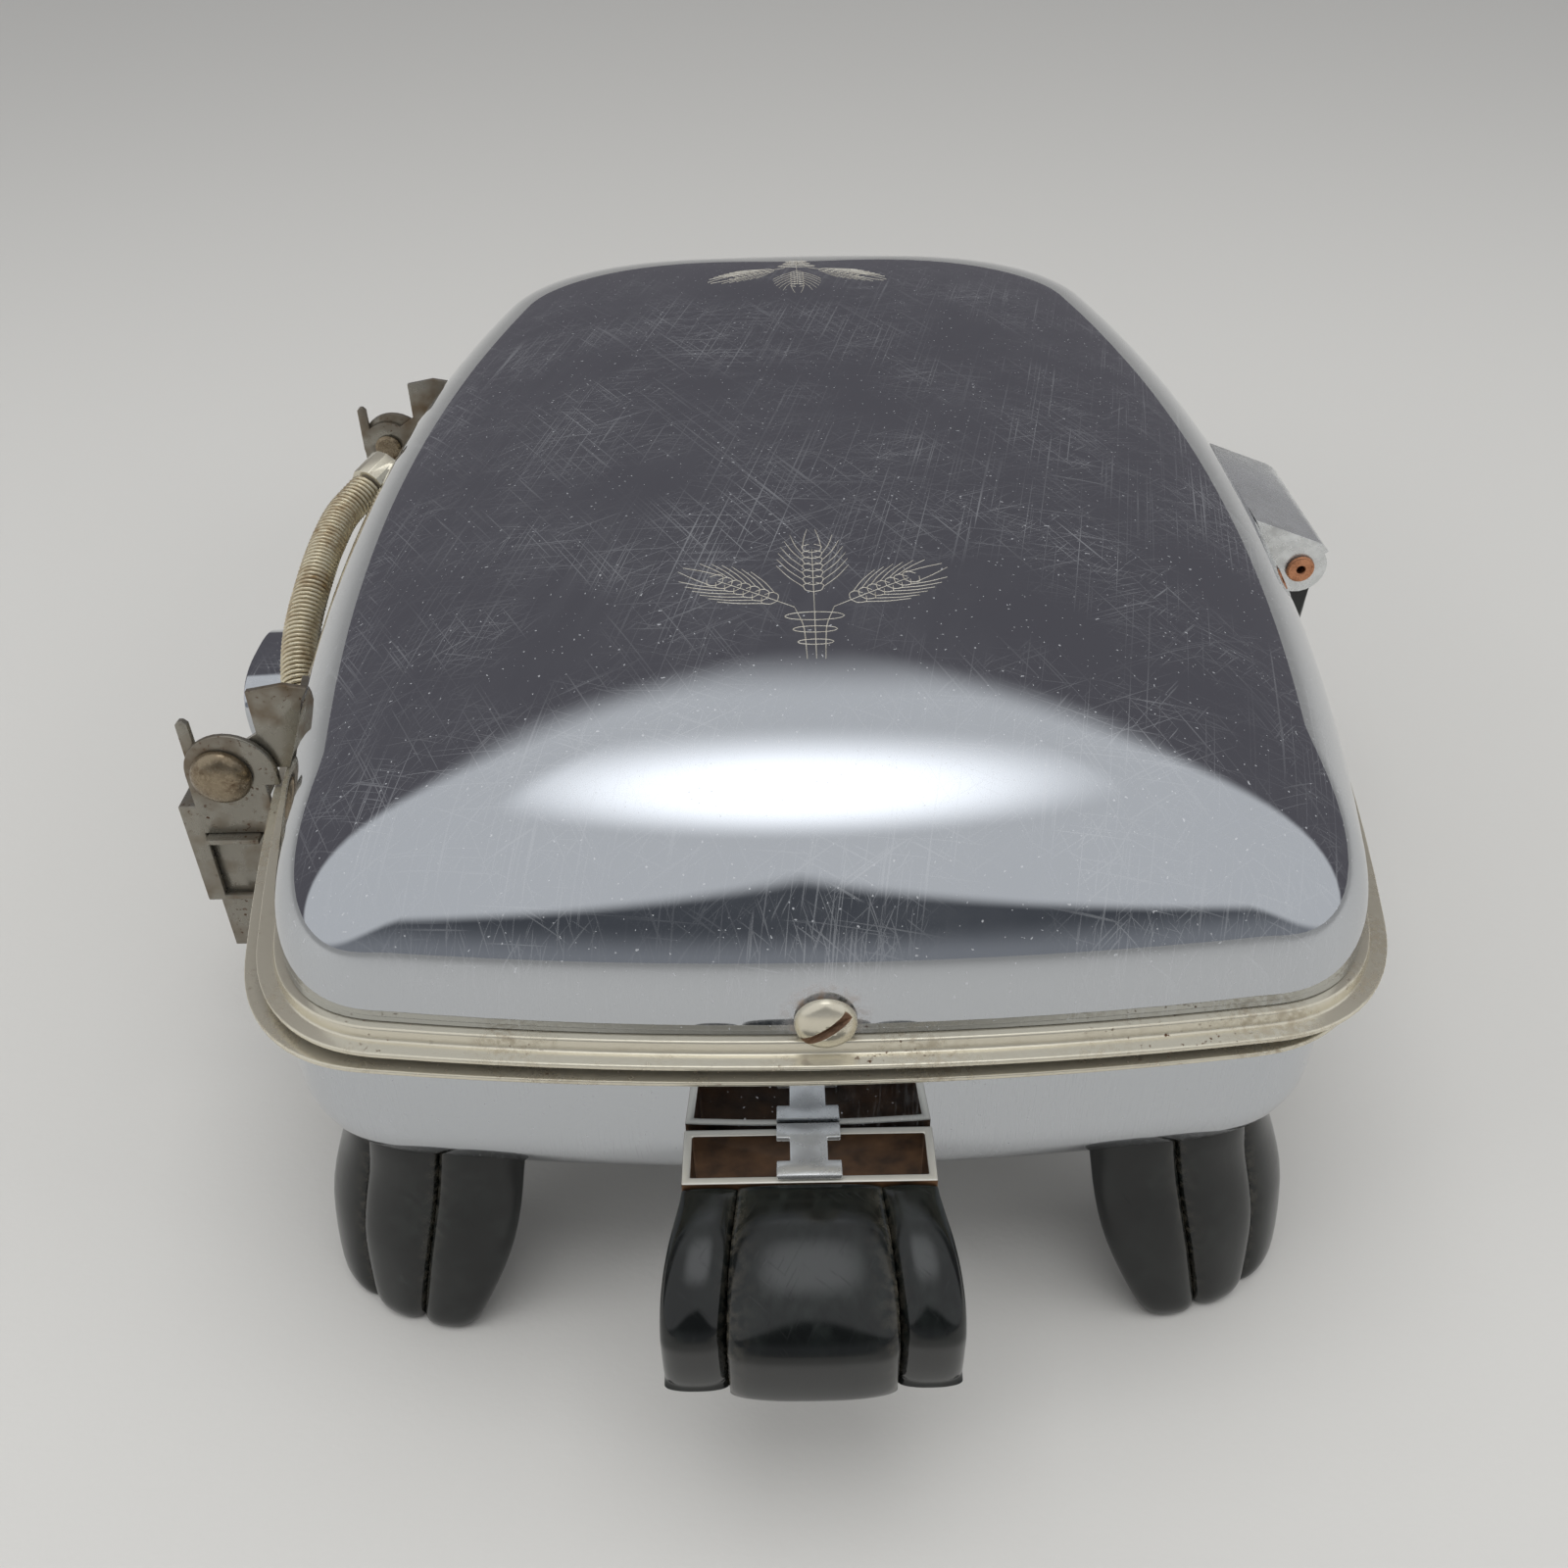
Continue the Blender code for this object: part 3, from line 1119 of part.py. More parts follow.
lead_top = RIM_HEIGHT - ELEMENT_DROP - ELEMENT_RADIUS - GAP
for word, side in (("front", -1), ("rear", 1)):
    y = side * PIN_OFFSET
    root = PIN_SEAT - BLOCK_FACE
    along = (-1.0, 0.0, 0.0)
    base = (0.0, y, GUARD_Z)
    profile = [(PIN_RADIUS, -root)]
    profile += [(PIN_RADIUS * across, PIN_TIP - PIN_RADIUS * short) for across, short in PIN_TIP_SHARES]
    add_mesh("plug_pin_" + word, loft(turned(profile, base, along)), BRASS, press)
    hole = PIN_RADIUS + GAP
    drill(block, "pin_seat_" + word, base, along, -root - GAP, BLOCK_FACE + OVERRUN, hole, press)
    start = (-BLOCK_BACK + GAP, y, GUARD_Z)
    bend = (-ELEMENT_HALF_WIDTH, y, GUARD_Z)
    top = (-ELEMENT_HALF_WIDTH, y, lead_top)
    tube("lead_" + word, rounded_path((start, bend, top), LEAD_BEND, 4), LEAD_RADIUS, 1, BRASS, press)
    centre = (-ELEMENT_HALF_WIDTH, y, 0.0)
    hole = LEAD_RADIUS + 2 * GAP
    drill(lower_reflector, "lead_hole_" + word, centre, (0.0, 0.0, 1.0), GUARD_Z, lead_top, hole, press)


# The conduit: a wire coil round a woven sleeve, from a ferrule on the base to one on the lid


def conduit_path(steps):
    """Points along the route: straight at both ends, smooth between."""
    knots = [Vector((-RIM_HALF_WIDTH - out, y, z + RIM_HEIGHT)) for out, y, z in CONDUIT_ROUTE]
    first = (knots[1] - knots[0]).normalized()
    last = (knots[-1] - knots[-2]).normalized()
    inner = knots[1:-1]
    slopes = []
    for number, knot in enumerate(inner):
        if number == 0:
            slopes.append(first * (inner[1] - knot).length)
        elif number == len(inner) - 1:
            slopes.append(last * (knot - inner[-2]).length)
        else:
            slopes.append((inner[number + 1] - inner[number - 1]) / 2)
    points = [knots[0].lerp(knots[1], step / steps) for step in range(steps)]
    for a, b, m, n in zip(inner, inner[1:], slopes, slopes[1:]):
        for step in range(steps):
            t = step / steps
            points.append(
                a * (2 * t**3 - 3 * t**2 + 1)
                + m * (t**3 - 2 * t**2 + t)
                + b * (3 * t**2 - 2 * t**3)
                + n * (t**3 - t**2)
            )
    points += [knots[-2].lerp(knots[-1], step / steps) for step in range(steps + 1)]
    return points


class Rail:
    """A list of points read by the length along it, with a frame that doesn't twist."""

    def __init__(self, points):
        self.points = points
        self.marks = [0.0]
        self.sides = []
        for a, b in zip(points, points[1:]):
            self.marks.append(self.marks[-1] + (b - a).length)
        side = (points[1] - points[0]).orthogonal().normalized()
        for number in range(len(points)):
            ahead = self.heading(number)
            side = (side - ahead * side.dot(ahead)).normalized()
            self.sides.append(side)

    def heading(self, number):
        before = self.points[max(number - 1, 0)]
        after = self.points[min(number + 1, len(self.points) - 1)]
        return (after - before).normalized()

    def at(self, mark):
        number = 0
        while number < len(self.marks) - 2 and self.marks[number + 1] < mark:
            number += 1
        run = self.marks[number + 1] - self.marks[number]
        share = (mark - self.marks[number]) / run
        point = self.points[number].lerp(self.points[number + 1], share)
        ahead = self.heading(number).lerp(self.heading(number + 1), share).normalized()
        side = self.sides[number].lerp(self.sides[number + 1], share)
        side = (side - ahead * side.dot(ahead)).normalized()
        return point, ahead, side


rail = Rail(conduit_path(12))
length = rail.marks[-1]
start = GAP + CONDUIT_WIRE_RADIUS
coil_length = length - 2 * start
curls = round(coil_length / CONDUIT_PITCH)
coil_radius = CONDUIT_RADIUS - CONDUIT_WIRE_RADIUS
coil = []
for step in range(curls * CURL_POINTS + 1):
    point, ahead, side = rail.at(start + coil_length * step / (curls * CURL_POINTS))
    turn = 2 * math.pi * step / CURL_POINTS
    spoke = side * math.cos(turn) + ahead.cross(side) * math.sin(turn)
    coil.append(point + spoke * coil_radius)
tube("conduit_spring", coil, CONDUIT_WIRE_RADIUS, 1, NICKEL, press)
least = min(
    (coil[i] - coil[j]).length
    for i in range(len(coil))
    for j in range(i + CURL_POINTS // 2, min(i + 2 * CURL_POINTS, len(coil)))
)
print("conduit: curls", curls, "length mm", round(length * 1000, 1))
print("conduit: least gap between curls mm", round((least - 2 * CONDUIT_WIRE_RADIUS) * 1000, 3))
core = [rail.at(GAP + (length - 2 * GAP) * step / CORE_STEPS)[0] for step in range(CORE_STEPS + 1)]
tube("conduit_core", core, CORE_RADIUS, 1, SLEEVE, press)


def ferrule(name, mouth, backwards, seat, parent):
    """A collar at the conduit's end and a neck from it into the shell's side."""
    shape = rod(mouth, backwards, 0.0, FERRULE_LENGTH, FERRULE_RADIUS)
    made = add_mesh(name, shape, NICKEL, parent)
    middle = mouth + backwards * FERRULE_LENGTH * NECK_SHARE
    neck = rod(middle, (1.0, 0.0, 0.0), 0.0, NECK_LENGTH, NECK_RADIUS)
    boolean(made, add_mesh(name + "_neck", neck, NICKEL, parent), "UNION")
    return boolean(made, seat, "DIFFERENCE")


ferrule("base_conduit_ferrule", rail.points[0], -rail.heading(0), bowl_seat, press)
ferrule("lid_conduit_ferrule", rail.points[-1], rail.heading(len(rail.points) - 1), dome_seat, lid_pivot)
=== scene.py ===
import math

import bmesh
import bpy
import numpy as np
from mathutils import Matrix, Vector


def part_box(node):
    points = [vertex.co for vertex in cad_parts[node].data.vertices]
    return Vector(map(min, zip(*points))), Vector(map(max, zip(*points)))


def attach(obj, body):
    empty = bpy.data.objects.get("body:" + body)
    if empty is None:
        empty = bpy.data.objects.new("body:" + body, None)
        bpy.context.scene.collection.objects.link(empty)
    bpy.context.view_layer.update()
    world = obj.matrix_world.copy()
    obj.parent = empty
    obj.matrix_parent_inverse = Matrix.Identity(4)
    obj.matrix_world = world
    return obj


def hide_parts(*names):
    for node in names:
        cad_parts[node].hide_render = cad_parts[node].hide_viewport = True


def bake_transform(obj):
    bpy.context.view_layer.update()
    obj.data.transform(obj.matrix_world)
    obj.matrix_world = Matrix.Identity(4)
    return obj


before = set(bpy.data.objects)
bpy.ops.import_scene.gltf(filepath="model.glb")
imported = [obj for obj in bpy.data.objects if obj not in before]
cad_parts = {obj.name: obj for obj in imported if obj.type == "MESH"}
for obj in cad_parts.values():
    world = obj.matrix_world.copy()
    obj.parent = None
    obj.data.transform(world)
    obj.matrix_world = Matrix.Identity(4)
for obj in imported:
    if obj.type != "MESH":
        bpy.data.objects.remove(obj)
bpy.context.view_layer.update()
scene = bpy.context.scene
for stray in ("Cube", "Light", "Camera"):
    if stray in bpy.data.objects:
        bpy.data.objects.remove(bpy.data.objects[stray])

mm = 0.001
pressX = 5.25 * mm  # the press's own middle, in the frame
ends = (("front", -1), ("rear", 1))

# Camera, at the photograph's place
camera = {"place": (2.5, -326.5, 256.2), "down": 36.9, "turn": -0.1, "roll": -1.1, "focalPixels": 1464.7}
imagePixels = 1600
sensorWidth = 36.0

eye = bpy.data.objects.new("camera", bpy.data.cameras.new("camera"))
scene.collection.objects.link(eye)
scene.camera = eye
eye.data.sensor_fit = "HORIZONTAL"
eye.data.sensor_width = sensorWidth
eye.data.lens = camera["focalPixels"] / imagePixels * sensorWidth
eye.data.clip_start = 0.01
down, turn, roll = (math.radians(camera[key]) for key in ("down", "turn", "roll"))
ahead = Vector((math.sin(turn) * math.cos(down), math.cos(turn) * math.cos(down), -math.sin(down)))
level = ahead.cross(Vector((0, 0, 1))).normalized()
upward = level.cross(ahead)
across = level * math.cos(roll) + upward * math.sin(roll)
above = upward * math.cos(roll) - level * math.sin(roll)
turned = Matrix((across, above, -ahead)).transposed().to_4x4()
eye.matrix_world = Matrix.Translation(Vector(camera["place"]) * mm) @ turned
print("camera placed, lens", round(eye.data.lens, 2), "mm")


# Colours and nodes

def hexToLinear(code, alpha=True):
    # sRGB hex to linear light, by the sRGB curve
    values = np.array([int(code[i : i + 2], 16) for i in (1, 3, 5)]) / 255
    linear = np.where(values <= 0.04045, values / 12.92, ((values + 0.055) / 1.055) ** 2.4)
    return (*linear.tolist(), 1.0) if alpha else tuple(linear.tolist())


def addNode(tree, kind, links=None, **settings):
    # A node with its settings; links maps an input to a value or to another node's output
    node = tree.nodes.new(kind)
    for name, value in settings.items():
        setattr(node, name, value)
    for name, value in (links or {}).items():
        if isinstance(value, bpy.types.NodeSocket):
            tree.links.new(value, node.inputs[name])
        else:
            node.inputs[name].default_value = value
    return node


def newFinish(name, colour, metallic, roughness):
    # A Principled material; returns it with its tree, its shader and the object's own coordinates
    finish = bpy.data.materials.new(name)
    finish.use_nodes = True
    tree = finish.node_tree
    shader = tree.nodes["Principled BSDF"]
    shader.inputs["Base Color"].default_value = hexToLinear(colour)
    shader.inputs["Metallic"].default_value = metallic
    shader.inputs["Roughness"].default_value = roughness
    coords = addNode(tree, "ShaderNodeTexCoord").outputs["Object"]
    return finish, tree, shader, coords


def noiseAt(tree, coords, size, detail=3.0, turn=(0, 0, 0), stretch=(1, 1, 1), low=0.4, high=0.6):
    # Noise whose grain is size metres wide, stretched and turned, cut to 0..1 between low and high
    scaled = tuple(1 / (size * part) for part in stretch)
    place = addNode(tree, "ShaderNodeMapping", {"Vector": coords, "Rotation": turn})
    spread = addNode(tree, "ShaderNodeMapping", {"Vector": place.outputs[0], "Scale": scaled})
    links = {"Vector": spread.outputs[0], "Scale": 1.0, "Detail": detail}
    grain = addNode(tree, "ShaderNodeTexNoise", links)
    limits = {"Value": grain.outputs["Fac"], "From Min": low, "From Max": high}
    return addNode(tree, "ShaderNodeMapRange", limits, clamp=True).outputs[0]


def mathNode(tree, operation, first, second=0.0):
    return addNode(tree, "ShaderNodeMath", {0: first, 1: second}, operation=operation, use_clamp=True).outputs[0]


def mixColour(tree, share, first, second):
    links = {"Factor": share, "A": first, "B": second}
    names = {"Factor": 0, "A": 6, "B": 7}
    node = addNode(tree, "ShaderNodeMix", data_type="RGBA")
    for key, value in links.items():
        socket = node.inputs[names[key]]
        if isinstance(value, bpy.types.NodeSocket):
            tree.links.new(value, socket)
        else:
            socket.default_value = hexToLinear(value) if isinstance(value, str) else value
    return node.outputs[2]


def spread(tree, share, low, high):
    # Maps 0..1 onto low..high
    return addNode(tree, "ShaderNodeMapRange", {"Value": share, "To Min": low, "To Max": high}).outputs[0]


def bump(tree, shader, height, depth, normal=None):
    links = {"Height": height, "Strength": 1.0, "Distance": depth}
    if normal is not None:
        links["Normal"] = normal
    made = addNode(tree, "ShaderNodeBump", links).outputs[0]
    tree.links.new(made, shader.inputs["Normal"])
    return made


def scratches(tree, coords, layers):
    # Fine straight marks: noise stretched long and thin, once for each (turn, width, length, low) layer
    total = None
    for turnDeg, width, length, low in layers:
        turns = (0, 0, math.radians(turnDeg))
        mark = noiseAt(tree, coords, width, 1.0, turns, (1, length / width, 40), low, low + 0.05)
        total = mark if total is None else mathNode(tree, "MAXIMUM", total, mark)
    return total


def addFilm(tree, shader, share, metal, film):
    # Dirt or oxide over a metal: where it lies the surface is less a metal and takes the film's colour
    tree.links.new(mixColour(tree, share, metal, film), shader.inputs["Base Color"])
    tree.links.new(spread(tree, share, 1.0, 0.0), shader.inputs["Metallic"])


# Chromium plate on pressed steel: a dark mirror that has been wiped for years, so pale hairlines cross it
# in every direction, grease and dust haze it in clouds, and specks of lint catch the light
chromeLook = {
    "colour": "#C4C7CB", "roughness": 0.022, "haze": 0.08, "veil": "#C2C4C8", "veilShare": 0.045, "lintShare": 0.6,
    "marks": [(12, 0.34, 60, 0.635), (61, 0.28, 24, 0.66), (-28, 0.30, 34, 0.65), (95, 0.30, 28, 0.665), (-66, 0.26, 16, 0.665), (38, 0.24, 9, 0.665)],
    "markShare": 0.22, "lintSize": 0.6, "lintLow": 0.815,
    "stain": "#8A6B4A", "stainFrom": 5.0 * mm, "stainTo": 9.0 * mm, "stainShare": 0.75, "headHeight": 2.8 * mm,
}


def makeChrome():
    look = chromeLook
    finish, tree, shader, coords = newFinish("chromePlate", look["colour"], 1.0, look["roughness"])
    layers = [(angle, width * mm, length * mm, low) for angle, width, length, low in look["marks"]]
    marks = scratches(tree, coords, layers)
    wiped = noiseAt(tree, coords, 30 * mm, 2.0, low=0.36, high=0.70)
    clouds = noiseAt(tree, coords, 70 * mm, 5.0, low=0.46, high=0.72)
    streaks = noiseAt(tree, coords, 4 * mm, 3.0, (0, 0, 0.3), (1, 9, 1), 0.25, 0.85)
    lint = noiseAt(tree, coords, look["lintSize"] * mm, 0.0, low=look["lintLow"], high=look["lintLow"] + 0.015)
    rubbed = mathNode(tree, "MULTIPLY", marks, wiped)
    grease = mathNode(tree, "MULTIPLY", clouds, streaks)
    rough = mathNode(tree, "MAXIMUM", mathNode(tree, "MULTIPLY", grease, 0.8), mathNode(tree, "MULTIPLY", wiped, 0.12))
    tree.links.new(spread(tree, rough, look["roughness"], look["haze"] + look["roughness"]), shader.inputs["Roughness"])
    # What lies on the plate scatters light, so it is a share of a pale matt surface over the mirror
    share = mathNode(tree, "MAXIMUM", mathNode(tree, "MULTIPLY", rubbed, look["markShare"]), mathNode(tree, "MULTIPLY", grease, look["veilShare"]))
    share = mathNode(tree, "MAXIMUM", share, mathNode(tree, "MULTIPLY", lint, look["lintShare"]))
    # Rust has crept out from under the lid's screws, at both ends alike
    low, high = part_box("lid_screw_front")
    aways = []
    for _, end in ends:
        seat = ((low.x + high.x) / 2, end * (abs(low.y) - look["headHeight"]), (low.z + high.z) / 2)
        aways.append(addNode(tree, "ShaderNodeVectorMath", {0: coords, 1: seat}, operation="DISTANCE").outputs["Value"])
    away = mathNode(tree, "MINIMUM", *aways)
    links = {"Value": away, "From Min": look["stainTo"], "From Max": look["stainFrom"]}
    crept = addNode(tree, "ShaderNodeMapRange", links, clamp=True).outputs[0]
    crept = mathNode(tree, "MULTIPLY", crept, noiseAt(tree, coords, 1.6 * mm, 4.0, low=0.30, high=0.62))
    veil = mixColour(tree, crept, look["veil"], look["stain"])
    share = mathNode(tree, "MAXIMUM", share, mathNode(tree, "MULTIPLY", crept, look["stainShare"]))
    addFilm(tree, shader, share, look["colour"], veil)
    return finish


# Dulled nickel plate: warm and satin, with brown stain where wet crumbs lay and pinholes of rust
nickelLook = {"colour": "#D6D0BE", "stain": "#86704F", "rust": "#5A3D28", "roughness": 0.25, "grain": 0.5, "film": 0.30}


def makeNickel():
    look = nickelLook
    finish, tree, shader, coords = newFinish("wornNickel", look["colour"], 1.0, look["roughness"])
    cloud = noiseAt(tree, coords, 14 * mm, 5.0, low=0.45, high=0.72)
    fine = noiseAt(tree, coords, 1.3 * mm, 4.0, low=0.40, high=0.66)
    stain = mathNode(tree, "MULTIPLY", cloud, fine)
    pits = noiseAt(tree, coords, 0.9 * mm, 2.0, low=0.66, high=0.72)
    pits = mathNode(tree, "MULTIPLY", pits, noiseAt(tree, coords, 22 * mm, 2.0, low=0.48, high=0.60))
    colour = mixColour(tree, mathNode(tree, "MULTIPLY", stain, 0.55), look["colour"], look["stain"])
    colour = mixColour(tree, pits, colour, look["rust"])
    tree.links.new(colour, shader.inputs["Base Color"])
    tree.links.new(spread(tree, mathNode(tree, "MAXIMUM", stain, pits), 0.20, 0.50), shader.inputs["Roughness"])
    shader.inputs["Metallic"].default_value = 1.0 - look["film"]
    grain = noiseAt(tree, coords, look["grain"] * mm, 2.0, low=0.3, high=0.7)
    bump(tree, shader, grain, 0.006 * mm)
    return finish


# Compression-moulded phenolic, polished and handled: near-black with a green-grey bloom
bakeliteLook = {"colour": "#0C0E0D", "bloom": "#2A302D", "dust": "#6A6458", "roughness": 0.11}


def makeBakelite():
    look = bakeliteLook
    finish, tree, shader, coords = newFinish("blackBakelite", look["colour"], 0.0, look["roughness"])
    bloom = noiseAt(tree, coords, 9 * mm, 5.0, low=0.35, high=0.75)
    flow = noiseAt(tree, coords, 2.2 * mm, 4.0, stretch=(1, 2.5, 1), low=0.35, high=0.75)
    cloudy = mathNode(tree, "MULTIPLY", bloom, flow)
    groove = addNode(tree, "ShaderNodeAttribute", attribute_name="groove").outputs["Fac"]
    lint = mathNode(tree, "MULTIPLY", groove, noiseAt(tree, coords, 1.6 * mm, 3.0, low=0.42, high=0.62))
    colour = mixColour(tree, mathNode(tree, "MULTIPLY", cloudy, 0.6), look["colour"], look["bloom"])
    colour = mixColour(tree, mathNode(tree, "MULTIPLY", lint, 0.75), colour, look["dust"])
    tree.links.new(colour, shader.inputs["Base Color"])
    worn = mathNode(tree, "MAXIMUM", mathNode(tree, "MULTIPLY", cloudy, 0.5), lint)
    tree.links.new(spread(tree, worn, look["roughness"], 0.45), shader.inputs["Roughness"])
    marks = scratches(tree, coords, [(30, 0.25 * mm, 7 * mm, 0.68), (-50, 0.25 * mm, 9 * mm, 0.68)])
    bump(tree, shader, mathNode(tree, "MAXIMUM", marks, mathNode(tree, "MULTIPLY", flow, 0.4)), 0.008 * mm)
    return finish


# Cold-rolled strip, once nickelled: grey with a rolled grain, gone brown along its edges and in spots
steelLook = {"colour": "#908C82", "heat": "#6A5439", "rust": "#553823", "roughness": 0.28, "film": 0.24}


def makeSteel():
    look = steelLook
    finish, tree, shader, coords = newFinish("dullSteel", look["colour"], 1.0, look["roughness"])
    cloud = noiseAt(tree, coords, 8 * mm, 5.0, low=0.42, high=0.68)
    spots = noiseAt(tree, coords, 1.0 * mm, 4.0, low=0.62, high=0.70)
    spots = mathNode(tree, "MULTIPLY", spots, noiseAt(tree, coords, 10 * mm, 2.0, low=0.45, high=0.6))
    colour = mixColour(tree, mathNode(tree, "MULTIPLY", cloud, 0.75), look["colour"], look["heat"])
    colour = mixColour(tree, spots, colour, look["rust"])
    tree.links.new(colour, shader.inputs["Base Color"])
    tree.links.new(spread(tree, mathNode(tree, "MAXIMUM", cloud, spots), 0.26, 0.55), shader.inputs["Roughness"])
    shader.inputs["Metallic"].default_value = 1.0 - look["film"]
    grain = noiseAt(tree, coords, 0.3 * mm, 2.0, stretch=(1, 1, 12), low=0.3, high=0.7)
    bump(tree, shader, mathNode(tree, "MAXIMUM", mathNode(tree, "MULTIPLY", grain, 0.5), spots), 0.012 * mm)
    return finish


def makePlain(name, colour, second, metallic, roughness, size, depth):
    # A finish clouded between two colours, with a grain as wide as size
    finish, tree, shader, coords = newFinish(name, colour, metallic, roughness)
    cloud = noiseAt(tree, coords, size * 5, 4.0, low=0.35, high=0.7)
    grain = noiseAt(tree, coords, size, 3.0, low=0.3, high=0.7)
    share = mathNode(tree, "MULTIPLY", cloud, grain)
    tree.links.new(mixColour(tree, share, colour, second), shader.inputs["Base Color"])
    tree.links.new(spread(tree, grain, roughness * 0.8, min(roughness * 1.4, 1.0)), shader.inputs["Roughness"])
    bump(tree, shader, grain, depth)
    return finish


def makeBracketSteel():
    # The same strip where it holds the handle: scorched brown, with a painted highlight in pale on every face that
    # looks up, that is its top and the upper faces of its cut edges
    finish, tree, shader, coords = newFinish("scorchedSteel", "#55412C", 0.7, 0.38)
    normal = addNode(tree, "ShaderNodeSeparateXYZ", {0: addNode(tree, "ShaderNodeTexCoord").outputs["Normal"]}).outputs["Z"]
    cloud = noiseAt(tree, coords, 5 * mm, 4.0, low=0.3, high=0.75)
    scorched = mixColour(tree, cloud, "#3B2A1D", "#77563A")
    # Painted highlight: faces that look up are mixed toward a pale colour, as if lit from above
    paintedTopHighlight = addNode(tree, "ShaderNodeMapRange", {"Value": normal, "From Min": 0.35, "From Max": 0.7}, clamp=True).outputs[0]
    tree.links.new(mixColour(tree, paintedTopHighlight, scorched, "#DAD8CF"), shader.inputs["Base Color"])
    bump(tree, shader, cloud, 0.01 * mm)
    return finish


chrome = makeChrome()
nickel = makeNickel()
bakelite = makeBakelite()
steel = makeSteel()
scorchedSteel = makeBracketSteel()
# Nickelled strap, wiped clean each time the handle is wiped
cleanNickel = makePlain("cleanNickel", "#E2E4E4", "#C2C3C2", 0.75, 0.24, 3.0 * mm, 0.003 * mm)
# Cold-headed bronze rivet, worn bright on its crown and dark in the pores
bronze = makePlain("bronzedRivet", "#978973", "#57432F", 0.85, 0.27, 0.7 * mm, 0.015 * mm)
# The screws' slots, where polish and rust have dried
tarnish = makePlain("slotTarnish", "#7D604A", "#4A3526", 0.5, 0.42, 0.6 * mm, 0.02 * mm)
# Copper eyelet, dull with handling
copper = makePlain("copperEyelet", "#C98F6C", "#7C4E36", 0.9, 0.28, 0.5 * mm, 0.01 * mm)
# Sand-cast aluminium, with the mould's grain and baked-on oil
cast = makePlain("castAluminium", "#A9A9A6", "#6E6559", 1.0, 0.48, 0.5 * mm, 0.05 * mm)
# Nichrome element sheath, oxidised matt
sheath = makePlain("elementSheath", "#5B5149", "#2A2521", 1.0, 0.55, 0.4 * mm, 0.02 * mm)
# Nickelled conduit wire, cream with age and stained brown where it has been hot
woundNickel = makePlain("woundNickel", "#DDD3B8", "#94754B", 0.75, 0.28, 1.6 * mm, 0.006 * mm)
# Fired steatite, off-white with a scorched bloom
ceramic = makePlain("firedSteatite", "#D8CFBE", "#9C8565", 0.0, 0.45, 0.8 * mm, 0.02 * mm)
# Turned brass, tarnished
brass = makePlain("turnedBrass", "#C9A35A", "#7A5C30", 1.0, 0.28, 0.5 * mm, 0.01 * mm)
# Impregnated cotton sleeving, brown with age
sleeving = makePlain("cottonSleeving", "#6F5B3F", "#3A2D1E", 0.0, 0.85, 0.35 * mm, 0.08 * mm)
# Chromium over cut lines: frosted, so it stands out pale from the mirror round it
etched = makePlain("cutChrome", "#CFCBBF", "#9E9686", 0.45, 0.42, 0.4 * mm, 0.004 * mm)
# Rolled aluminium reflector sheet
bright = makePlain("reflectorSheet", "#C4C4C2", "#9A958C", 1.0, 0.30, 0.6 * mm, 0.01 * mm)
print("finishes made")


# Surfaces

def superCurve(angle, power):
    # A quarter of a superellipse read by its polar angle: (reach, rise), each from 0 to 1
    reach, rise = np.cos(angle), np.sin(angle)
    size = (np.abs(reach) ** power + np.abs(rise) ** power) ** (-1 / power)
    return reach * size, rise * size


def monotone(table, steps, closed=False):
    # Cubic pieces through a table's rows, whose slopes are harmonic means, so nothing overshoots
    rows = np.concatenate([table, table[:1]]) if closed else np.asarray(table, float)
    rise = np.diff(rows, axis=0)
    before = np.concatenate([rise[-1:] if closed else rise[:1], rise])
    after = np.concatenate([rise, rise[:1] if closed else rise[-1:]])
    same = before * after > 0
    slope = np.where(same, 2 * before * after / np.where(same, before + after, 1), 0)
    t = (np.arange(steps) / steps).reshape((1, steps) + (1,) * (rows.ndim - 1))
    a, b, m, n = (part[:, None] for part in (rows[:-1], rows[1:], slope[:-1], slope[1:]))
    filled = a * (2 * t**3 - 3 * t**2 + 1) + m * (t**3 - 2 * t**2 + t) + b * (3 * t**2 - 2 * t**3) + n * (t**3 - t**2)
    filled = filled.reshape((-1,) + rows.shape[1:])
    return filled if closed else np.concatenate([filled, rows[-1:]])


def filleted(outline, radius, steps, closed=True):
    # Rounds an outline's corners: each becomes a quadratic curve between points a radius along its sides
    points = np.asarray(outline, float)
    before, after = np.roll(points, 1, axis=0), np.roll(points, -1, axis=0)
    toBefore, toAfter = before - points, after - points
    back, on = np.linalg.norm(toBefore, axis=1, keepdims=True), np.linalg.norm(toAfter, axis=1, keepdims=True)
    reach = np.minimum(radius, 0.48 * np.minimum(back, on))
    start, end = points + toBefore / back * reach, points + toAfter / on * reach
    t = (np.arange(steps + 1) / steps).reshape(1, -1, 1)
    start, middle, end = start[:, None], points[:, None], end[:, None]
    rounded = start * (1 - t) ** 2 + middle * 2 * t * (1 - t) + end * t**2
    if not closed:
        rounded[0], rounded[-1] = points[0], points[-1]
    return rounded.reshape(-1, 2)


def arcPoints(centre, radius, startDeg, endDeg, steps):
    angles = np.radians(np.linspace(startDeg, endDeg, steps + 1))
    return np.stack([centre[0] + radius * np.cos(angles), centre[1] + radius * np.sin(angles)], axis=1)


def gridFaces(rows, columns, closeRows, closeColumns):
    # Four corners for each cell of a grid, wrapping round where it is closed
    i = np.arange(rows if closeRows else rows - 1)[:, None]
    j = np.arange(columns if closeColumns else columns - 1)[None, :]
    here, down = i * columns, (i + 1) % rows * columns
    right = (j + 1) % columns
    return np.stack([here + j, here + right, down + right, down + j], axis=-1).reshape(-1, 4)


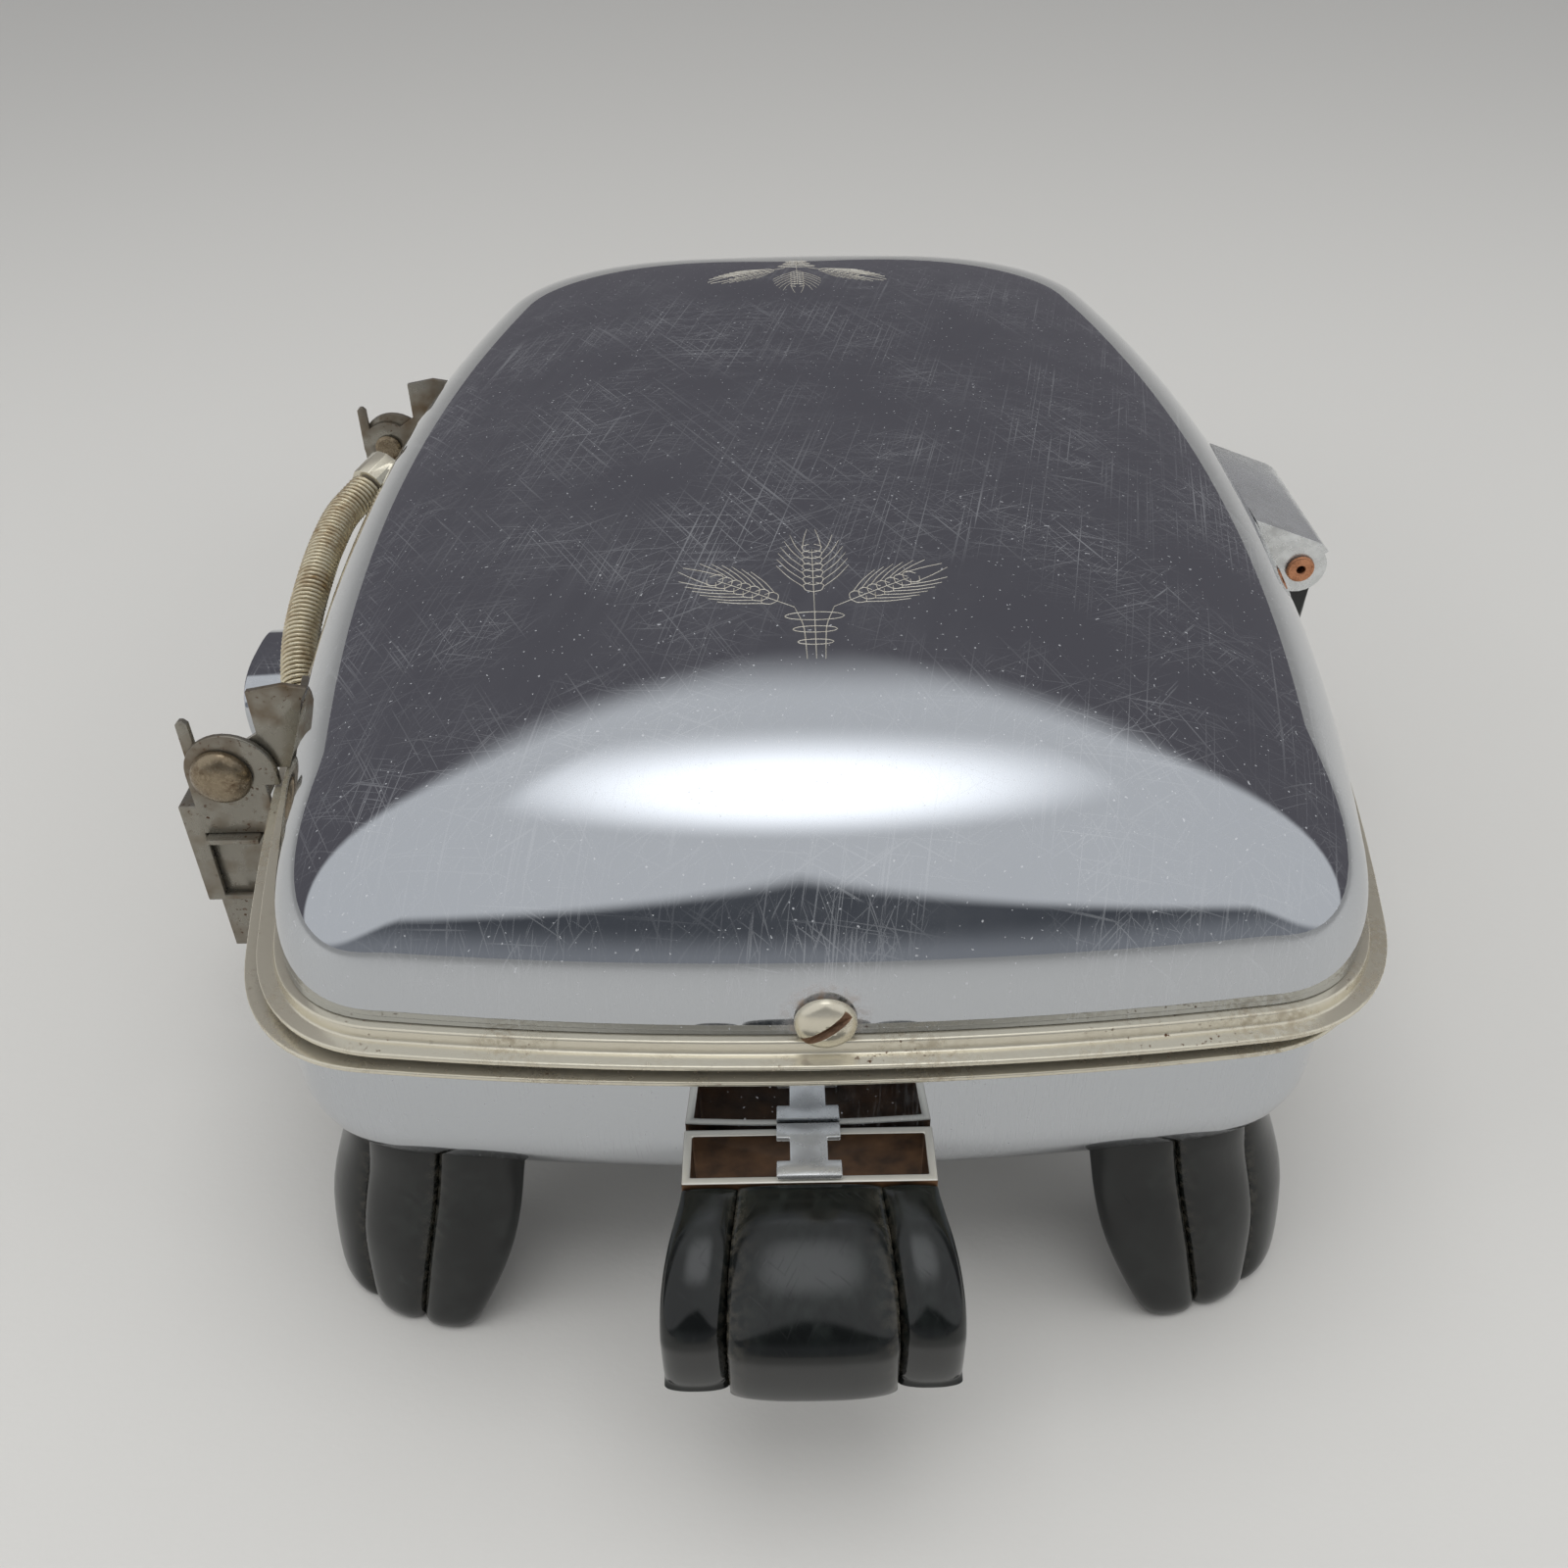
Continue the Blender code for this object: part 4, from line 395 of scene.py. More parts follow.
def gridPiece(name, points, finish, closeRows=False, closeColumns=True, caps=True, smooth=35, values=None):
    # A surface from points (rows, columns, 3), its open ends capped; values are kept as the groove attribute
    points = np.asarray(points, float)
    rows, columns = points.shape[:2]
    faces = gridFaces(rows, columns, closeRows, closeColumns).tolist()
    if caps and not closeRows:
        faces.append(list(range(columns))[::-1])
        faces.append(list(range((rows - 1) * columns, rows * columns)))
    mesh = bpy.data.meshes.new(name)
    mesh.from_pydata(points.reshape(-1, 3).tolist(), [], faces)
    if values is not None:
        store = mesh.attributes.new("groove", "FLOAT", "POINT")
        store.data.foreach_set("value", np.asarray(values, np.float32).ravel())
    return meshPiece(name, mesh, finish, smooth)


def meshPiece(name, mesh, finish, smooth=35, merge=0.002 * mm):
    tidy = bmesh.new()
    tidy.from_mesh(mesh)
    bmesh.ops.remove_doubles(tidy, verts=tidy.verts, dist=merge)
    bmesh.ops.recalc_face_normals(tidy, faces=tidy.faces)
    tidy.to_mesh(mesh)
    tidy.free()
    mesh.materials.clear()
    mesh.materials.append(finish)
    mesh.shade_smooth()
    mesh.set_sharp_from_angle(angle=math.radians(smooth))
    piece = bpy.data.objects.new(name, mesh)
    scene.collection.objects.link(piece)
    return piece


def fit(piece, body, slotName, *nodes):
    # Puts a finished piece on its body, in place of its CAD nodes
    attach(piece, body)
    if nodes:
        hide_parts(*nodes)
    return piece


def applied(piece):
    # Makes a piece's modifiers final
    graph = bpy.context.evaluated_depsgraph_get()
    mesh = bpy.data.meshes.new_from_object(piece.evaluated_get(graph))
    piece.modifiers.clear()
    piece.data = mesh
    return piece


def cutAway(piece, *cutters):
    for cutter in cutters:
        step = piece.modifiers.new("cut", "BOOLEAN")
        step.operation = "DIFFERENCE"
        step.solver = "EXACT"
        step.material_mode = "TRANSFER"
        step.object = cutter
    applied(piece)
    for cutter in cutters:
        bpy.data.objects.remove(cutter)
    return piece


def extruded(name, outline, axis, start, end, finish, smooth=35):
    # An (u, v) outline carried along Y as (x, z), or along X as (y, z)
    outline = np.asarray(outline, float)
    u, v = outline[:, 0], outline[:, 1]
    rings = [[u, np.full_like(u, at), v] if axis == "Y" else [np.full_like(u, at), u, v] for at in (start, end)]
    return gridPiece(name, np.array(rings).transpose(0, 2, 1), finish, smooth=smooth)


def refined(node, finish, body, slotName, width, segments=2, smooth=40, angle=28):
    # A copy of a CAD solid with its flats merged and its edges rounded
    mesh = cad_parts[node].data.copy()
    clean = bmesh.new()
    clean.from_mesh(mesh)
    bmesh.ops.remove_doubles(clean, verts=clean.verts, dist=0.004 * mm)
    bmesh.ops.dissolve_limit(clean, angle_limit=math.radians(2), verts=clean.verts, edges=clean.edges)
    clean.to_mesh(mesh)
    clean.free()
    piece = meshPiece(node + "_fine", mesh, finish, smooth)
    rounding = piece.modifiers.new("edges", "BEVEL")
    rounding.width = width
    rounding.segments = segments
    rounding.limit_method = "ANGLE"
    rounding.angle_limit = math.radians(angle)
    rounding.harden_normals = False
    applied(piece)
    piece.data.set_sharp_from_angle(angle=math.radians(smooth))
    return fit(piece, body, slotName, node)


def lathe(name, profile, centre, axis, finish, sides=40, closed=False, smooth=35):
    # A profile of (radius, place along the axis) turned about it
    profile = np.asarray(profile, float)
    axis = np.asarray(axis, float)
    side = np.cross(axis, (0.0, 0.0, 1.0) if abs(axis[2]) < 0.9 else (1.0, 0.0, 0.0))
    side /= np.linalg.norm(side)
    other = np.cross(axis, side)
    angles = 2 * np.pi * np.arange(sides) / sides
    spokes = np.cos(angles)[:, None] * side + np.sin(angles)[:, None] * other
    points = np.asarray(centre) + profile[:, 1, None, None] * axis + profile[:, 0, None, None] * spokes
    return gridPiece(name, points, finish, closeRows=closed, smooth=smooth)


# The plan that both halves share: straight sides with full corners, bowed out along each side
plan = {
    "halfWidth": 116 * mm, "halfLength": 168 * mm, "sideBow": 20 * mm, "endBow": 7.5 * mm, "corner": 22 * mm,
    "cornerLeast": 4.4 * mm, "cornerPower": 2.6, "cornerStretch": 1.25, "cornerLimit": 0.97,
    "cornerSteps": 18, "endSteps": 16, "sideSteps": 24,
}
levels = {"rim": 76 * mm, "gap": 2.6 * mm, "sheet": 1 * mm, "step": 2.2 * mm, "lidShift": 3 * mm, "clear": 0.3 * mm}
lidBase = levels["rim"] + levels["gap"]
frameHeight = levels["sheet"] + levels["step"]
lidFoot = lidBase + frameHeight + levels["clear"]
bowlTop = levels["rim"] - frameHeight - levels["clear"]


def planRings(out, corner, height, shift=0.0):
    # Rings at offsets out from the rim's edge: superelliptic corners joined by straight runs, then each
    # point drawn in by the bow times the square of its place along the side. Arrays give one ring each
    out, corner, height = (np.asarray(part, float).reshape(-1, 1) for part in (out, corner, height))
    halfWidth, halfLength = plan["halfWidth"] + out, plan["halfLength"] + out
    corner = np.minimum(corner * plan["cornerStretch"], plan["cornerLimit"] * halfWidth)
    cx, cy = superCurve(np.linspace(0, np.pi / 2, plan["cornerSteps"] + 1), plan["cornerPower"])
    wide, long = halfWidth - corner, halfLength - corner
    quarters = [(wide + corner * cx, long + corner * cy), (-wide - corner * cy, long + corner * cx)]
    quarters += [(-wide - corner * cx, -long - corner * cy), (wide + corner * cy, -long - corner * cx)]
    parts = []
    for number, (x, y) in enumerate(quarters):
        steps = plan["endSteps"] if number % 2 == 0 else plan["sideSteps"]
        share = np.arange(1, steps) / steps
        nextX, nextY = quarters[(number + 1) % 4]
        runX = x[:, -1:] + (nextX[:, :1] - x[:, -1:]) * share
        runY = y[:, -1:] + (nextY[:, :1] - y[:, -1:]) * share
        parts += [np.stack([x, y], -1), np.stack([runX, runY], -1)]
    flat = np.concatenate(parts, axis=1)
    x, y = flat[..., 0], flat[..., 1]
    drawnX = x * (1 - plan["sideBow"] / plan["halfWidth"] * (y / halfLength) ** 2) + shift + pressX
    drawnY = y * (1 - plan["endBow"] / plan["halfLength"] * (x / halfWidth) ** 2)
    return np.stack([drawnX, drawnY, height + 0 * x], axis=-1)


# Pressed shells: a profile of (inset, height) carried round the plan, with the sheet's wall behind it
shells = {
    "inset": 5 * mm, "wall": 0.9 * mm, "cornerGrowth": 0.45, "rows": 44,
    "domeRise": 44.95 * mm, "domePower": 2.6, "domeEnd": 0.985,
    "bowlDepth": 48 * mm, "bowlWall": 20 * mm, "bowlTurn": 60 * mm, "bowlPower": 2.4,
}


def shellRings(inset, offset, height, shift=0.0):
    corner = plan["corner"] - shells["inset"] + shells["cornerGrowth"] * (inset - shells["inset"]) + offset
    return planRings(offset - inset, corner, height, shift)


def domeProfile(rows):
    # Up the lid: the inset grows as a superellipse's reach shrinks, the height as it rises
    reach, rise = superCurve(np.linspace(0, np.pi / 2 * shells["domeEnd"], rows), shells["domePower"])
    inset = shells["inset"] + (1 - reach) * (plan["halfWidth"] - shells["inset"])
    return inset, lidFoot + rise * shells["domeRise"]


def bowlProfile(rows):
    # Down the base: a straight wall, then a superellipse in to the flat bottom
    reach, drop = superCurve(np.linspace(0, np.pi / 2, rows), shells["bowlPower"])
    inset = np.concatenate([np.full(6, shells["inset"]), shells["inset"] + (1 - reach) * shells["bowlTurn"]])
    curve = levels["rim"] - shells["bowlWall"] - drop * (shells["bowlDepth"] - shells["bowlWall"])
    return inset, np.concatenate([np.linspace(bowlTop, curve[0], 6, endpoint=False), curve])


def insetAt(height, base, depth, power, turnReach):
    # How far in the outside lies at a height, from the superellipse turned round
    rise = np.clip((height - base) / depth, 0, 1)
    return shells["inset"] + turnReach * (1 - (1 - rise**power) ** (1 / power))


def bowlInset(height):
    start = levels["rim"] - shells["bowlWall"]
    return insetAt(start - (height - start), start, shells["bowlDepth"] - shells["bowlWall"], shells["bowlPower"], shells["bowlTurn"])


def makeShell(name, profile, direction, body, shift):
    inset, height = profile
    lift = np.where(np.arange(len(height)) == 0, 0, direction * shells["wall"])
    outside = shellRings(inset, 0.0, height, shift)
    inside = shellRings(inset, -shells["wall"], height + lift, shift)
    piece = gridPiece(name + "_skin", np.concatenate([outside[::-1], inside]), chrome, smooth=50)
    return fit(piece, body, "chrome_plate", name)


lidShell = makeShell("lid_shell", domeProfile(shells["rows"]), -1, "lid", levels["lidShift"])
baseShell = makeShell("base_shell", bowlProfile(shells["rows"]), 1, "base", 0.0)
print("shells made")


# The ornament: three bearded ears on bound stalks, in raised hairlines, at both ends of the lid. Each stroke
# is drawn flat in mm (across, up from the foot), laid on the lid, and given a low round back
sprig = {"foot": 113.0, "line": 0.46, "raise": 0.07 * mm, "sink": 0.10 * mm, "top": 127.05 * mm}


def earStrokes(root, leanDeg, length, awn, fan, pairs):
    # A stem from the root, and for each pair of grains two bowed grains and two awns, on axes turned by the
    # lean. The lowest awns end a fan's width out, the others closer along a quarter of an ellipse
    lean = math.radians(leanDeg)
    axis, aside = np.array([math.sin(lean), math.cos(lean)]), np.array([math.cos(lean), -math.sin(lean)])
    strokes = [np.array([root, root + axis * length * 0.5, root + axis * length])]
    for number in range(pairs):
        base = root + axis * length * (0.22 + 0.72 * number / (pairs - 1))
        for hand in (-1, 1):
            grain = [(0.0, 0.0), (1.5, 0.7), (1.9, 2.2), (0.5, 3.1)]
            out = 0.8 + (fan - 0.8) * math.sqrt(1 - (number / (pairs - 1)) ** 2)
            beard = [(1.8, 1.6), (1.1 + 0.5 * out, awn * 0.55), (out, awn)]
            strokes += [np.array([base + aside * hand * u + axis * v for u, v in part]) for part in (grain, beard)]
    return strokes


def sprigStrokes():
    strokes = []
    for root, lean, length, awn, fan in (((0.0, 15.0), 0, 19.0, 9.0, 6.8), ((-3.6, 14.5), -57, 17.0, 9.5, 5.6), ((3.6, 14.5), 57, 17.0, 9.5, 5.6)):
        strokes += earStrokes(np.array(root), lean, length, awn, fan, 7)
        strokes.append(np.array([(root[0] * 0.45, 0.0), (root[0] * 0.55, 8.0), root]))
    for level, half in ((4.5, 3.2), (8.0, 4.0), (11.8, 5.4)):
        turns = np.linspace(0, 2 * np.pi, 13)
        strokes.append(np.column_stack([half * np.cos(turns), level + half * 0.22 * np.sin(turns)]))
    return strokes


def makeSprig(word, end):
    rows = []
    for stroke in sprigStrokes():
        knots = monotone(stroke, 6 if len(stroke) < 8 else 3)
        heading = np.gradient(knots, axis=0)
        heading /= np.linalg.norm(heading, axis=1, keepdims=True)
        aside = heading[:, ::-1] * (1, -1)
        wide = sprig["line"] / 2 * np.sin(np.linspace(0.12, 0.92, len(knots)) * np.pi)[:, None] ** 0.4
        rows.append(np.stack([knots - aside * wide, knots, knots + aside * wide], axis=1))
    flat = np.concatenate(rows)
    x = pressX + levels["lidShift"] - end * flat[..., 0] * mm
    y = end * (sprig["foot"] - flat[..., 1]) * mm
    points = np.stack([x, y, np.full_like(x, 0.2)], axis=-1)
    guide = bpy.data.meshes.new("guide")
    guide.from_pydata(points.reshape(-1, 3).tolist(), [], [])
    guide = bpy.data.objects.new("guide", guide)
    scene.collection.objects.link(guide)
    wrap = guide.modifiers.new("wrap", "SHRINKWRAP")
    wrap.target, wrap.wrap_method = lidShell, "PROJECT"
    wrap.use_project_z, wrap.use_negative_direction, wrap.use_positive_direction = True, True, False
    applied(guide)
    laid = np.empty(points.size)
    guide.data.vertices.foreach_get("co", laid)
    bpy.data.objects.remove(guide)
    laid = laid.reshape(points.shape)
    left, middle, right = (laid[:, i] for i in range(3))
    lift = np.array([0.0, 0.0, 1.0])
    loops = np.stack([left - lift * sprig["sink"], middle + lift * sprig["raise"], right - lift * sprig["sink"],
                      middle - lift * 2 * sprig["sink"]], axis=1)
    loops[..., 2] = np.minimum(loops[..., 2], sprig["top"])
    verts, faces, start = loops.reshape(-1, 3), [], 0
    for part in rows:
        count = len(part)
        faces += (gridFaces(count, 4, False, True) + start * 4).tolist()
        faces += [[start * 4 + i for i in (3, 2, 1, 0)], [(start + count - 1) * 4 + i for i in range(4)]]
        start += count
    mesh = bpy.data.meshes.new("sprig")
    mesh.from_pydata(verts.tolist(), [], faces)
    return fit(meshPiece("lid_sprig_" + word, mesh, etched, 60), "lid", "chrome_plate")


for word, end in ends:
    makeSprig(word, end)
print("sprigs made")


# Rim frames: flange, step and riser down to the ledge that carries a grid, every bend rounded
rim = {"flange": 3 * mm, "stepRun": 0.5 * mm, "riserInset": 14 * mm, "ledgeDepth": 9 * mm, "ledgeWidth": 7 * mm, "bend": 0.42 * mm}


def makeRim(name, base, up, body, shift):
    sheet, high = levels["sheet"], frameHeight
    stepIn, riser = rim["flange"] + rim["stepRun"], rim["riserInset"]
    toe, deep = riser + sheet + rim["ledgeWidth"], rim["ledgeDepth"]
    section = [(0, 0), (0, sheet), (rim["flange"], sheet), (stepIn, high), (riser, high), (riser, deep + sheet)]
    section += [(toe, deep + sheet), (toe, deep), (riser + sheet, deep), (riser + sheet, levels["step"])]
    section += [(stepIn + sheet, levels["step"]), (rim["flange"] + sheet, 0)]
    rounded = filleted(section, rim["bend"], 4)
    inset, rise = rounded[:, 0], rounded[:, 1]
    corner = np.maximum(plan["corner"] - inset, plan["cornerLeast"])
    rings = planRings(-inset, corner, base + up * rise, shift)
    return fit(gridPiece(name + "_fine", rings, nickel, closeRows=True, smooth=50), body, "worn_nickel", name)


makeRim("base_rim", levels["rim"], -1, "base", 0.0)
makeRim("lid_rim", lidBase, 1, "lid", levels["lidShift"])
print("rims made")


# Lobed mouldings: each lobe's face falls away toward its grooves as a superellipse does
lobeSteps = 14
lobePower = 2.6


def lobeColumns(bounds):
    # Places across the lobes, close together at the grooves, how deep each lies in its groove (0..1), which
    # lobe it is on, and how much dust lies there: in the grooves between lobes, not on the outer sides
    t = np.sin(np.linspace(-np.pi / 2, np.pi / 2, 2 * lobeSteps + 1))
    cut = 1 - (1 - np.abs(t) ** lobePower) ** (1 / lobePower)
    last = len(bounds) - 2
    places, cuts, lobe, dust = [], [], [], []
    for number, (low, high) in enumerate(zip(bounds, bounds[1:])):
        keep = slice(0 if number == 0 else 1, None)
        outer = ((number == 0) & (t < 0)) | ((number == last) & (t > 0))
        places.append((low + (high - low) * (t + 1) / 2)[keep])
        cuts.append(cut[keep])
        lobe.append(np.full(len(t[keep]), number))
        dust.append(np.where(outer, 0, cut**2)[keep])
    return tuple(np.concatenate(part) for part in (places, cuts, lobe, dust))


# Claw feet: sections turned about a centre inside each corner
claw = {
    "centre": (68, 132), "turn": 27.0, "reach": 32 * mm, "rise": 44 * mm, "groove": 3.2 * mm,
    "topBounds": (-78.0, -25.0, 25.0, 78.0), "tipBounds": (-30.0, -10.0, 10.0, 30.0),
    "sectionShares": (
        (0.70, 0.0, 0.0), (0.95, 0.0, 0.9), (1.0, 0.09, 1.1), (0.935, 0.40, 1.0), (0.77, 0.72, 1.0),
        (0.62, 1.0, 1.0), (0.05, 1.0, 0.0), (0.10, 0.52, 0.0), (0.45, 0.18, 0.0),
    ),
}


def makeFoot(word, hand, side, end):
    # radius = reach share * reach - groove depth, at an angle that blends from the tip's to the top's with height
    section = monotone(np.array(claw["sectionShares"]), 5, closed=True)
    top, cut, _, dust = lobeColumns(claw["topBounds"])
    tip = lobeColumns(claw["tipBounds"])[0]
    reach, rise, share = (section[:, i][None, :] for i in range(3))
    angle = np.radians(claw["turn"] + tip[:, None] + (top - tip)[:, None] * rise)
    radius = reach * claw["reach"] - share * cut[:, None] * claw["groove"]
    x = pressX + side * (claw["centre"][0] * mm + radius * np.sin(angle))
    y = end * (claw["centre"][1] * mm + radius * np.cos(angle))
    points = np.stack([x, y, rise * claw["rise"] + 0 * x], axis=-1)
    name = "foot_" + word + "_" + hand
    piece = gridPiece(name + "_fine", points, bakelite, smooth=48, values=dust[:, None] * np.clip(share, 0, 1))
    return fit(piece, "base", "black_bakelite", name)


for hand, side in (("left", -1), ("right", 1)):
    for word, end in ends:
        makeFoot(word, hand, side, end)


# End handles: three lobes standing out from the bracket, the outer two set back
grip = {
    "bracketReach": 11.5 * mm, "reach": 27 * mm, "halfWidth": 24.5 * mm, "rootHalfWidth": 21.5 * mm,
    "topDrop": 16.5 * mm, "height": 23 * mm, "groove": 3.2 * mm, "setback": 3 * mm, "lobeDrop": 1.2 * mm,
    "bounds": (-1.0, -0.56, 0.56, 1.0),
    "sectionShares": (
        (0.0, 0.70, 0.0), (0.0, 0.03, 0.4), (0.06, 0.0, 0.8), (0.32, 0.008, 1.0), (0.60, 0.07, 1.0), (0.84, 0.19, 1.0),
        (0.96, 0.33, 1.0), (1.0, 0.45, 1.0), (0.995, 0.70, 1.0), (0.975, 0.93, 1.0), (0.92, 1.0, 0.5), (0.70, 1.0, 0.0),
        (0.28, 0.86, 0.0),
    ),
}


def makeEndHandle(word, end):
    # Out from the root by the reach share, down by the drop share, each cut back where a groove runs
    root = plan["halfLength"] - shells["inset"] + grip["bracketReach"] + 2 * levels["clear"]
    crest = levels["rim"] - grip["topDrop"]
    section = monotone(np.array(grip["sectionShares"]), 5, closed=True)
    reach, drop, share = (section[:, i][None, :] for i in range(3))
    place, cut, lobe, dust = lobeColumns(grip["bounds"])
    cut, behind = cut[:, None], (lobe != 1).astype(float)[:, None]
    inwards = share * (cut * grip["groove"] + behind * grip["setback"]) * reach
    lower = share * (1 - drop) * (cut * grip["groove"] * 0.8 + behind * grip["lobeDrop"])
    half = grip["rootHalfWidth"] + (grip["halfWidth"] - grip["rootHalfWidth"]) * np.sin(reach * np.pi / 2)
    x = pressX + place[:, None] * half
    y = end * (root + reach * grip["reach"] - inwards)
    points = np.stack([x, y + 0 * x, crest - drop * grip["height"] - lower], axis=-1)
    name = "end_handle_" + word
    piece = gridPiece(name + "_fine", points, bakelite, smooth=48, values=dust[:, None] * np.clip(share, 0, 1))
    return fit(piece, "base", "black_bakelite", name)


for word, end in ends:
    makeEndHandle(word, end)


# The lid's handle, hung from the hood
swing = {
    "eyeX": 121.1 * mm, "eyeZ": 89.4 * mm, "hoodHalf": 22 * mm, "hoodSheet": 1.2 * mm, "clearance": 0.6 * mm,
    "boss": 4.8 * mm, "lip": 10.4 * mm, "drop": 39 * mm, "groove": 1.9 * mm, "setback": 1.2 * mm,
    "bounds": (-1.0, -0.545, 0.545, 1.0),
    "sectionShares": (
        (-0.106, 0.143, 0.0), (-0.106, 0.94, 0.0), (0.087, 0.988, 0.3), (0.875, 1.0, 1.0), (1.0, 0.957, 1.0),
        (0.952, 0.857, 1.0), (0.683, 0.643, 1.0), (0.548, 0.405, 1.0),
    ),
}


def makeLidHandle():
    # The section runs down the back, out along the lip and up the face, then round the boss on the pin
    lower = np.array(swing["sectionShares"]) * (swing["lip"], -swing["drop"], 1.0)
    boss = arcPoints((0.0, 0.0), swing["boss"], -20, 215, 12)
    lower = monotone(lower, 4)
    section = np.concatenate([lower, np.column_stack([boss, np.zeros(len(boss))])])
    place, cut, lobe, dust = lobeColumns(swing["bounds"])
    cut, behind = cut[:, None], (lobe != 1).astype(float)[:, None]
    depth = section[:, 2] * (cut * swing["groove"] + behind * swing["setback"])
    half = swing["hoodHalf"] - swing["hoodSheet"] - swing["clearance"]
    x = pressX + swing["eyeX"] + section[:, 0] - depth
    y = place[:, None] * half + 0 * x
    points = np.stack([x, y, swing["eyeZ"] + section[:, 1] + 0 * x], axis=-1)
    piece = gridPiece("lid_handle_fine", points, bakelite, smooth=48, values=dust[:, None] * section[:, 2])
    return fit(piece, "lid_handle", "black_bakelite", "lid_handle")


makeLidHandle()
print("mouldings made")


# Small turned pieces
screw = {"head": 5.2 * mm, "height": 2.8 * mm, "shank": 2 * mm, "length": 9.8 * mm, "slot": 1.7 * mm, "slotDepth": 1.5 * mm, "turn": 38.0}
rivet = {"head": 6.3 * mm, "height": 3.6 * mm, "shank": 2.5 * mm, "tail": 3.8 * mm, "tailHeight": 1.2 * mm}
eyelet = {"radius": 2.1 * mm, "bore": 1 * mm, "flange": 3.4 * mm, "thickness": 0.8 * mm, "depth": 6 * mm}


def domed(radius, height, start, power=2.3, steps=12):
    # A domed head's profile, from its rim to nearly its crown
    reach, rise = superCurve(np.linspace(0, np.pi / 2 * 0.96, steps), power)
    return np.column_stack([radius * reach, start + height * rise])


for word, end in ends:
    node = "lid_screw_" + word
    low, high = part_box(node)
    centre = ((low.x + high.x) / 2, (high.y if end < 0 else low.y), (low.z + high.z) / 2)
    away = (0.0, float(end), 0.0)
    seat = high.y - low.y - screw["height"]
    profile = np.concatenate([[(screw["shank"], 0.0), (screw["shank"], seat), (screw["head"], seat)],
                              domed(screw["head"], screw["height"] - 0.3 * mm, seat + 0.3 * mm, 2.05)])
    head = lathe(node + "_fine", profile, centre, away, nickel, 48)
    reach, half = screw["head"] * 1.5, screw["slot"] / 2
    angle = math.radians(screw["turn"])
    bar = np.array([(-reach, -half), (reach, -half), (reach, half), (-reach, half)])
    spin = np.array([(math.cos(angle), math.sin(angle)), (-math.sin(angle), math.cos(angle))])
    bar = bar @ spin + (centre[0], centre[2])
    face = centre[1] + end * (seat + screw["height"])
    slotBar = extruded("slot", bar, "Y", face - end * screw["slotDepth"], face + end * 2 * mm, tarnish)
    fit(cutAway(head, slotBar), "lid", "worn_nickel", node)

    node = "hinge_rivet_" + word
    low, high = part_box(node)
    centre = ((low.x + high.x) / 2, (high.y if end < 0 else low.y), (low.z + high.z) / 2)
    whole = high.y - low.y
    seat = whole - rivet["height"]
    tail = [(rivet["tail"] * 0.8, 0.0), (rivet["tail"], rivet["tailHeight"] * 0.5), (rivet["tail"], rivet["tailHeight"])]
    shank = [(rivet["shank"], rivet["tailHeight"]), (rivet["shank"], seat), (rivet["head"], seat)]
    profile = np.concatenate([tail, shank, domed(rivet["head"], rivet["height"] - 0.4 * mm, seat + 0.4 * mm, 2.1)])
    fit(lathe(node + "_fine", profile, centre, away, bronze, 48), "hinge_links", "bronzed_rivet", node)

    node = "lid_eyelet_" + word
    low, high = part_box(node)
    centre = ((low.x + high.x) / 2, (high.y if end < 0 else low.y), (low.z + high.z) / 2)
    face = eyelet["depth"]
    section = [(eyelet["bore"], 0.0), (eyelet["radius"], 0.0), (eyelet["radius"], face), (eyelet["flange"], face)]
    section += [(eyelet["flange"] * 0.92, face + eyelet["thickness"]), (eyelet["bore"], face + eyelet["thickness"])]
    ring = lathe(node + "_fine", filleted(section, 0.3 * mm, 3), centre, away, copper, 40, closed=True)
    fit(ring, "lid", "copper_eyelet", node)
print("turned pieces made")


# The plug guard: an oval tube whose root follows the shell
guard = {"halfWidth": 18 * mm, "halfHeight": 11.5 * mm, "reach": 142 * mm, "sheet": 0.9 * mm, "drop": 28.5 * mm, "power": 2.8}
guardAngles = np.linspace(0, 2 * np.pi, 97)[:-1]


def guardRing(shrink):
    y, z = superCurve(guardAngles, guard["power"])
    return y * (guard["halfWidth"] - shrink), z * (guard["halfHeight"] - shrink) + levels["rim"] - guard["drop"]


def makeGuard():
    mouth, sheet = pressX - guard["reach"], guard["sheet"]
    # The root, the mouth's half-round bead from outside to inside, and the root again
    turns = np.linspace(-np.pi / 2, np.pi / 2, 7)
    bead = [(sheet / 2 * (1 + math.sin(turn)), sheet / 2 * (1 - math.cos(turn))) for turn in turns]
    loops = []
    for shrink, back in [(0.0, None)] + bead + [(sheet, None)]:
        y, z = guardRing(shrink)
        inset = bowlInset(z)
        half = (plan["halfWidth"] - inset) * (1 - plan["sideBow"] / plan["halfWidth"] * (y / plan["halfLength"]) ** 2)
        x = pressX - half - levels["clear"] if back is None else np.full_like(y, mouth + back)
        loops.append(np.stack([x, y, z], axis=-1))
    piece = gridPiece("plug_guard_fine", np.array(loops), chrome, closeRows=True, smooth=50)
    return fit(piece, "base", "chrome_plate", "plug_guard")


makeGuard()


# The conduit: a close coil of wire round a sleeve, in two halves that meet on the links' body
conduit = {
    "route": (
        (-1.0, -45.0, -24.0), (2.1, -39.4, -17.7), (5.0, -31.0, -10.0), (6.6, -18.0, -3.0), (5.9, -3.0, 3.5),
        (4.8, 12.5, 7.9), (1.8, 24.6, 11.4), (-2.3, 32.3, 13.8),
    ),
    "radius": 4.5 * mm, "wire": 0.56 * mm, "pitch": 1.25 * mm, "core": 3.3 * mm, "turnPoints": 14, "wireSides": 8,
}


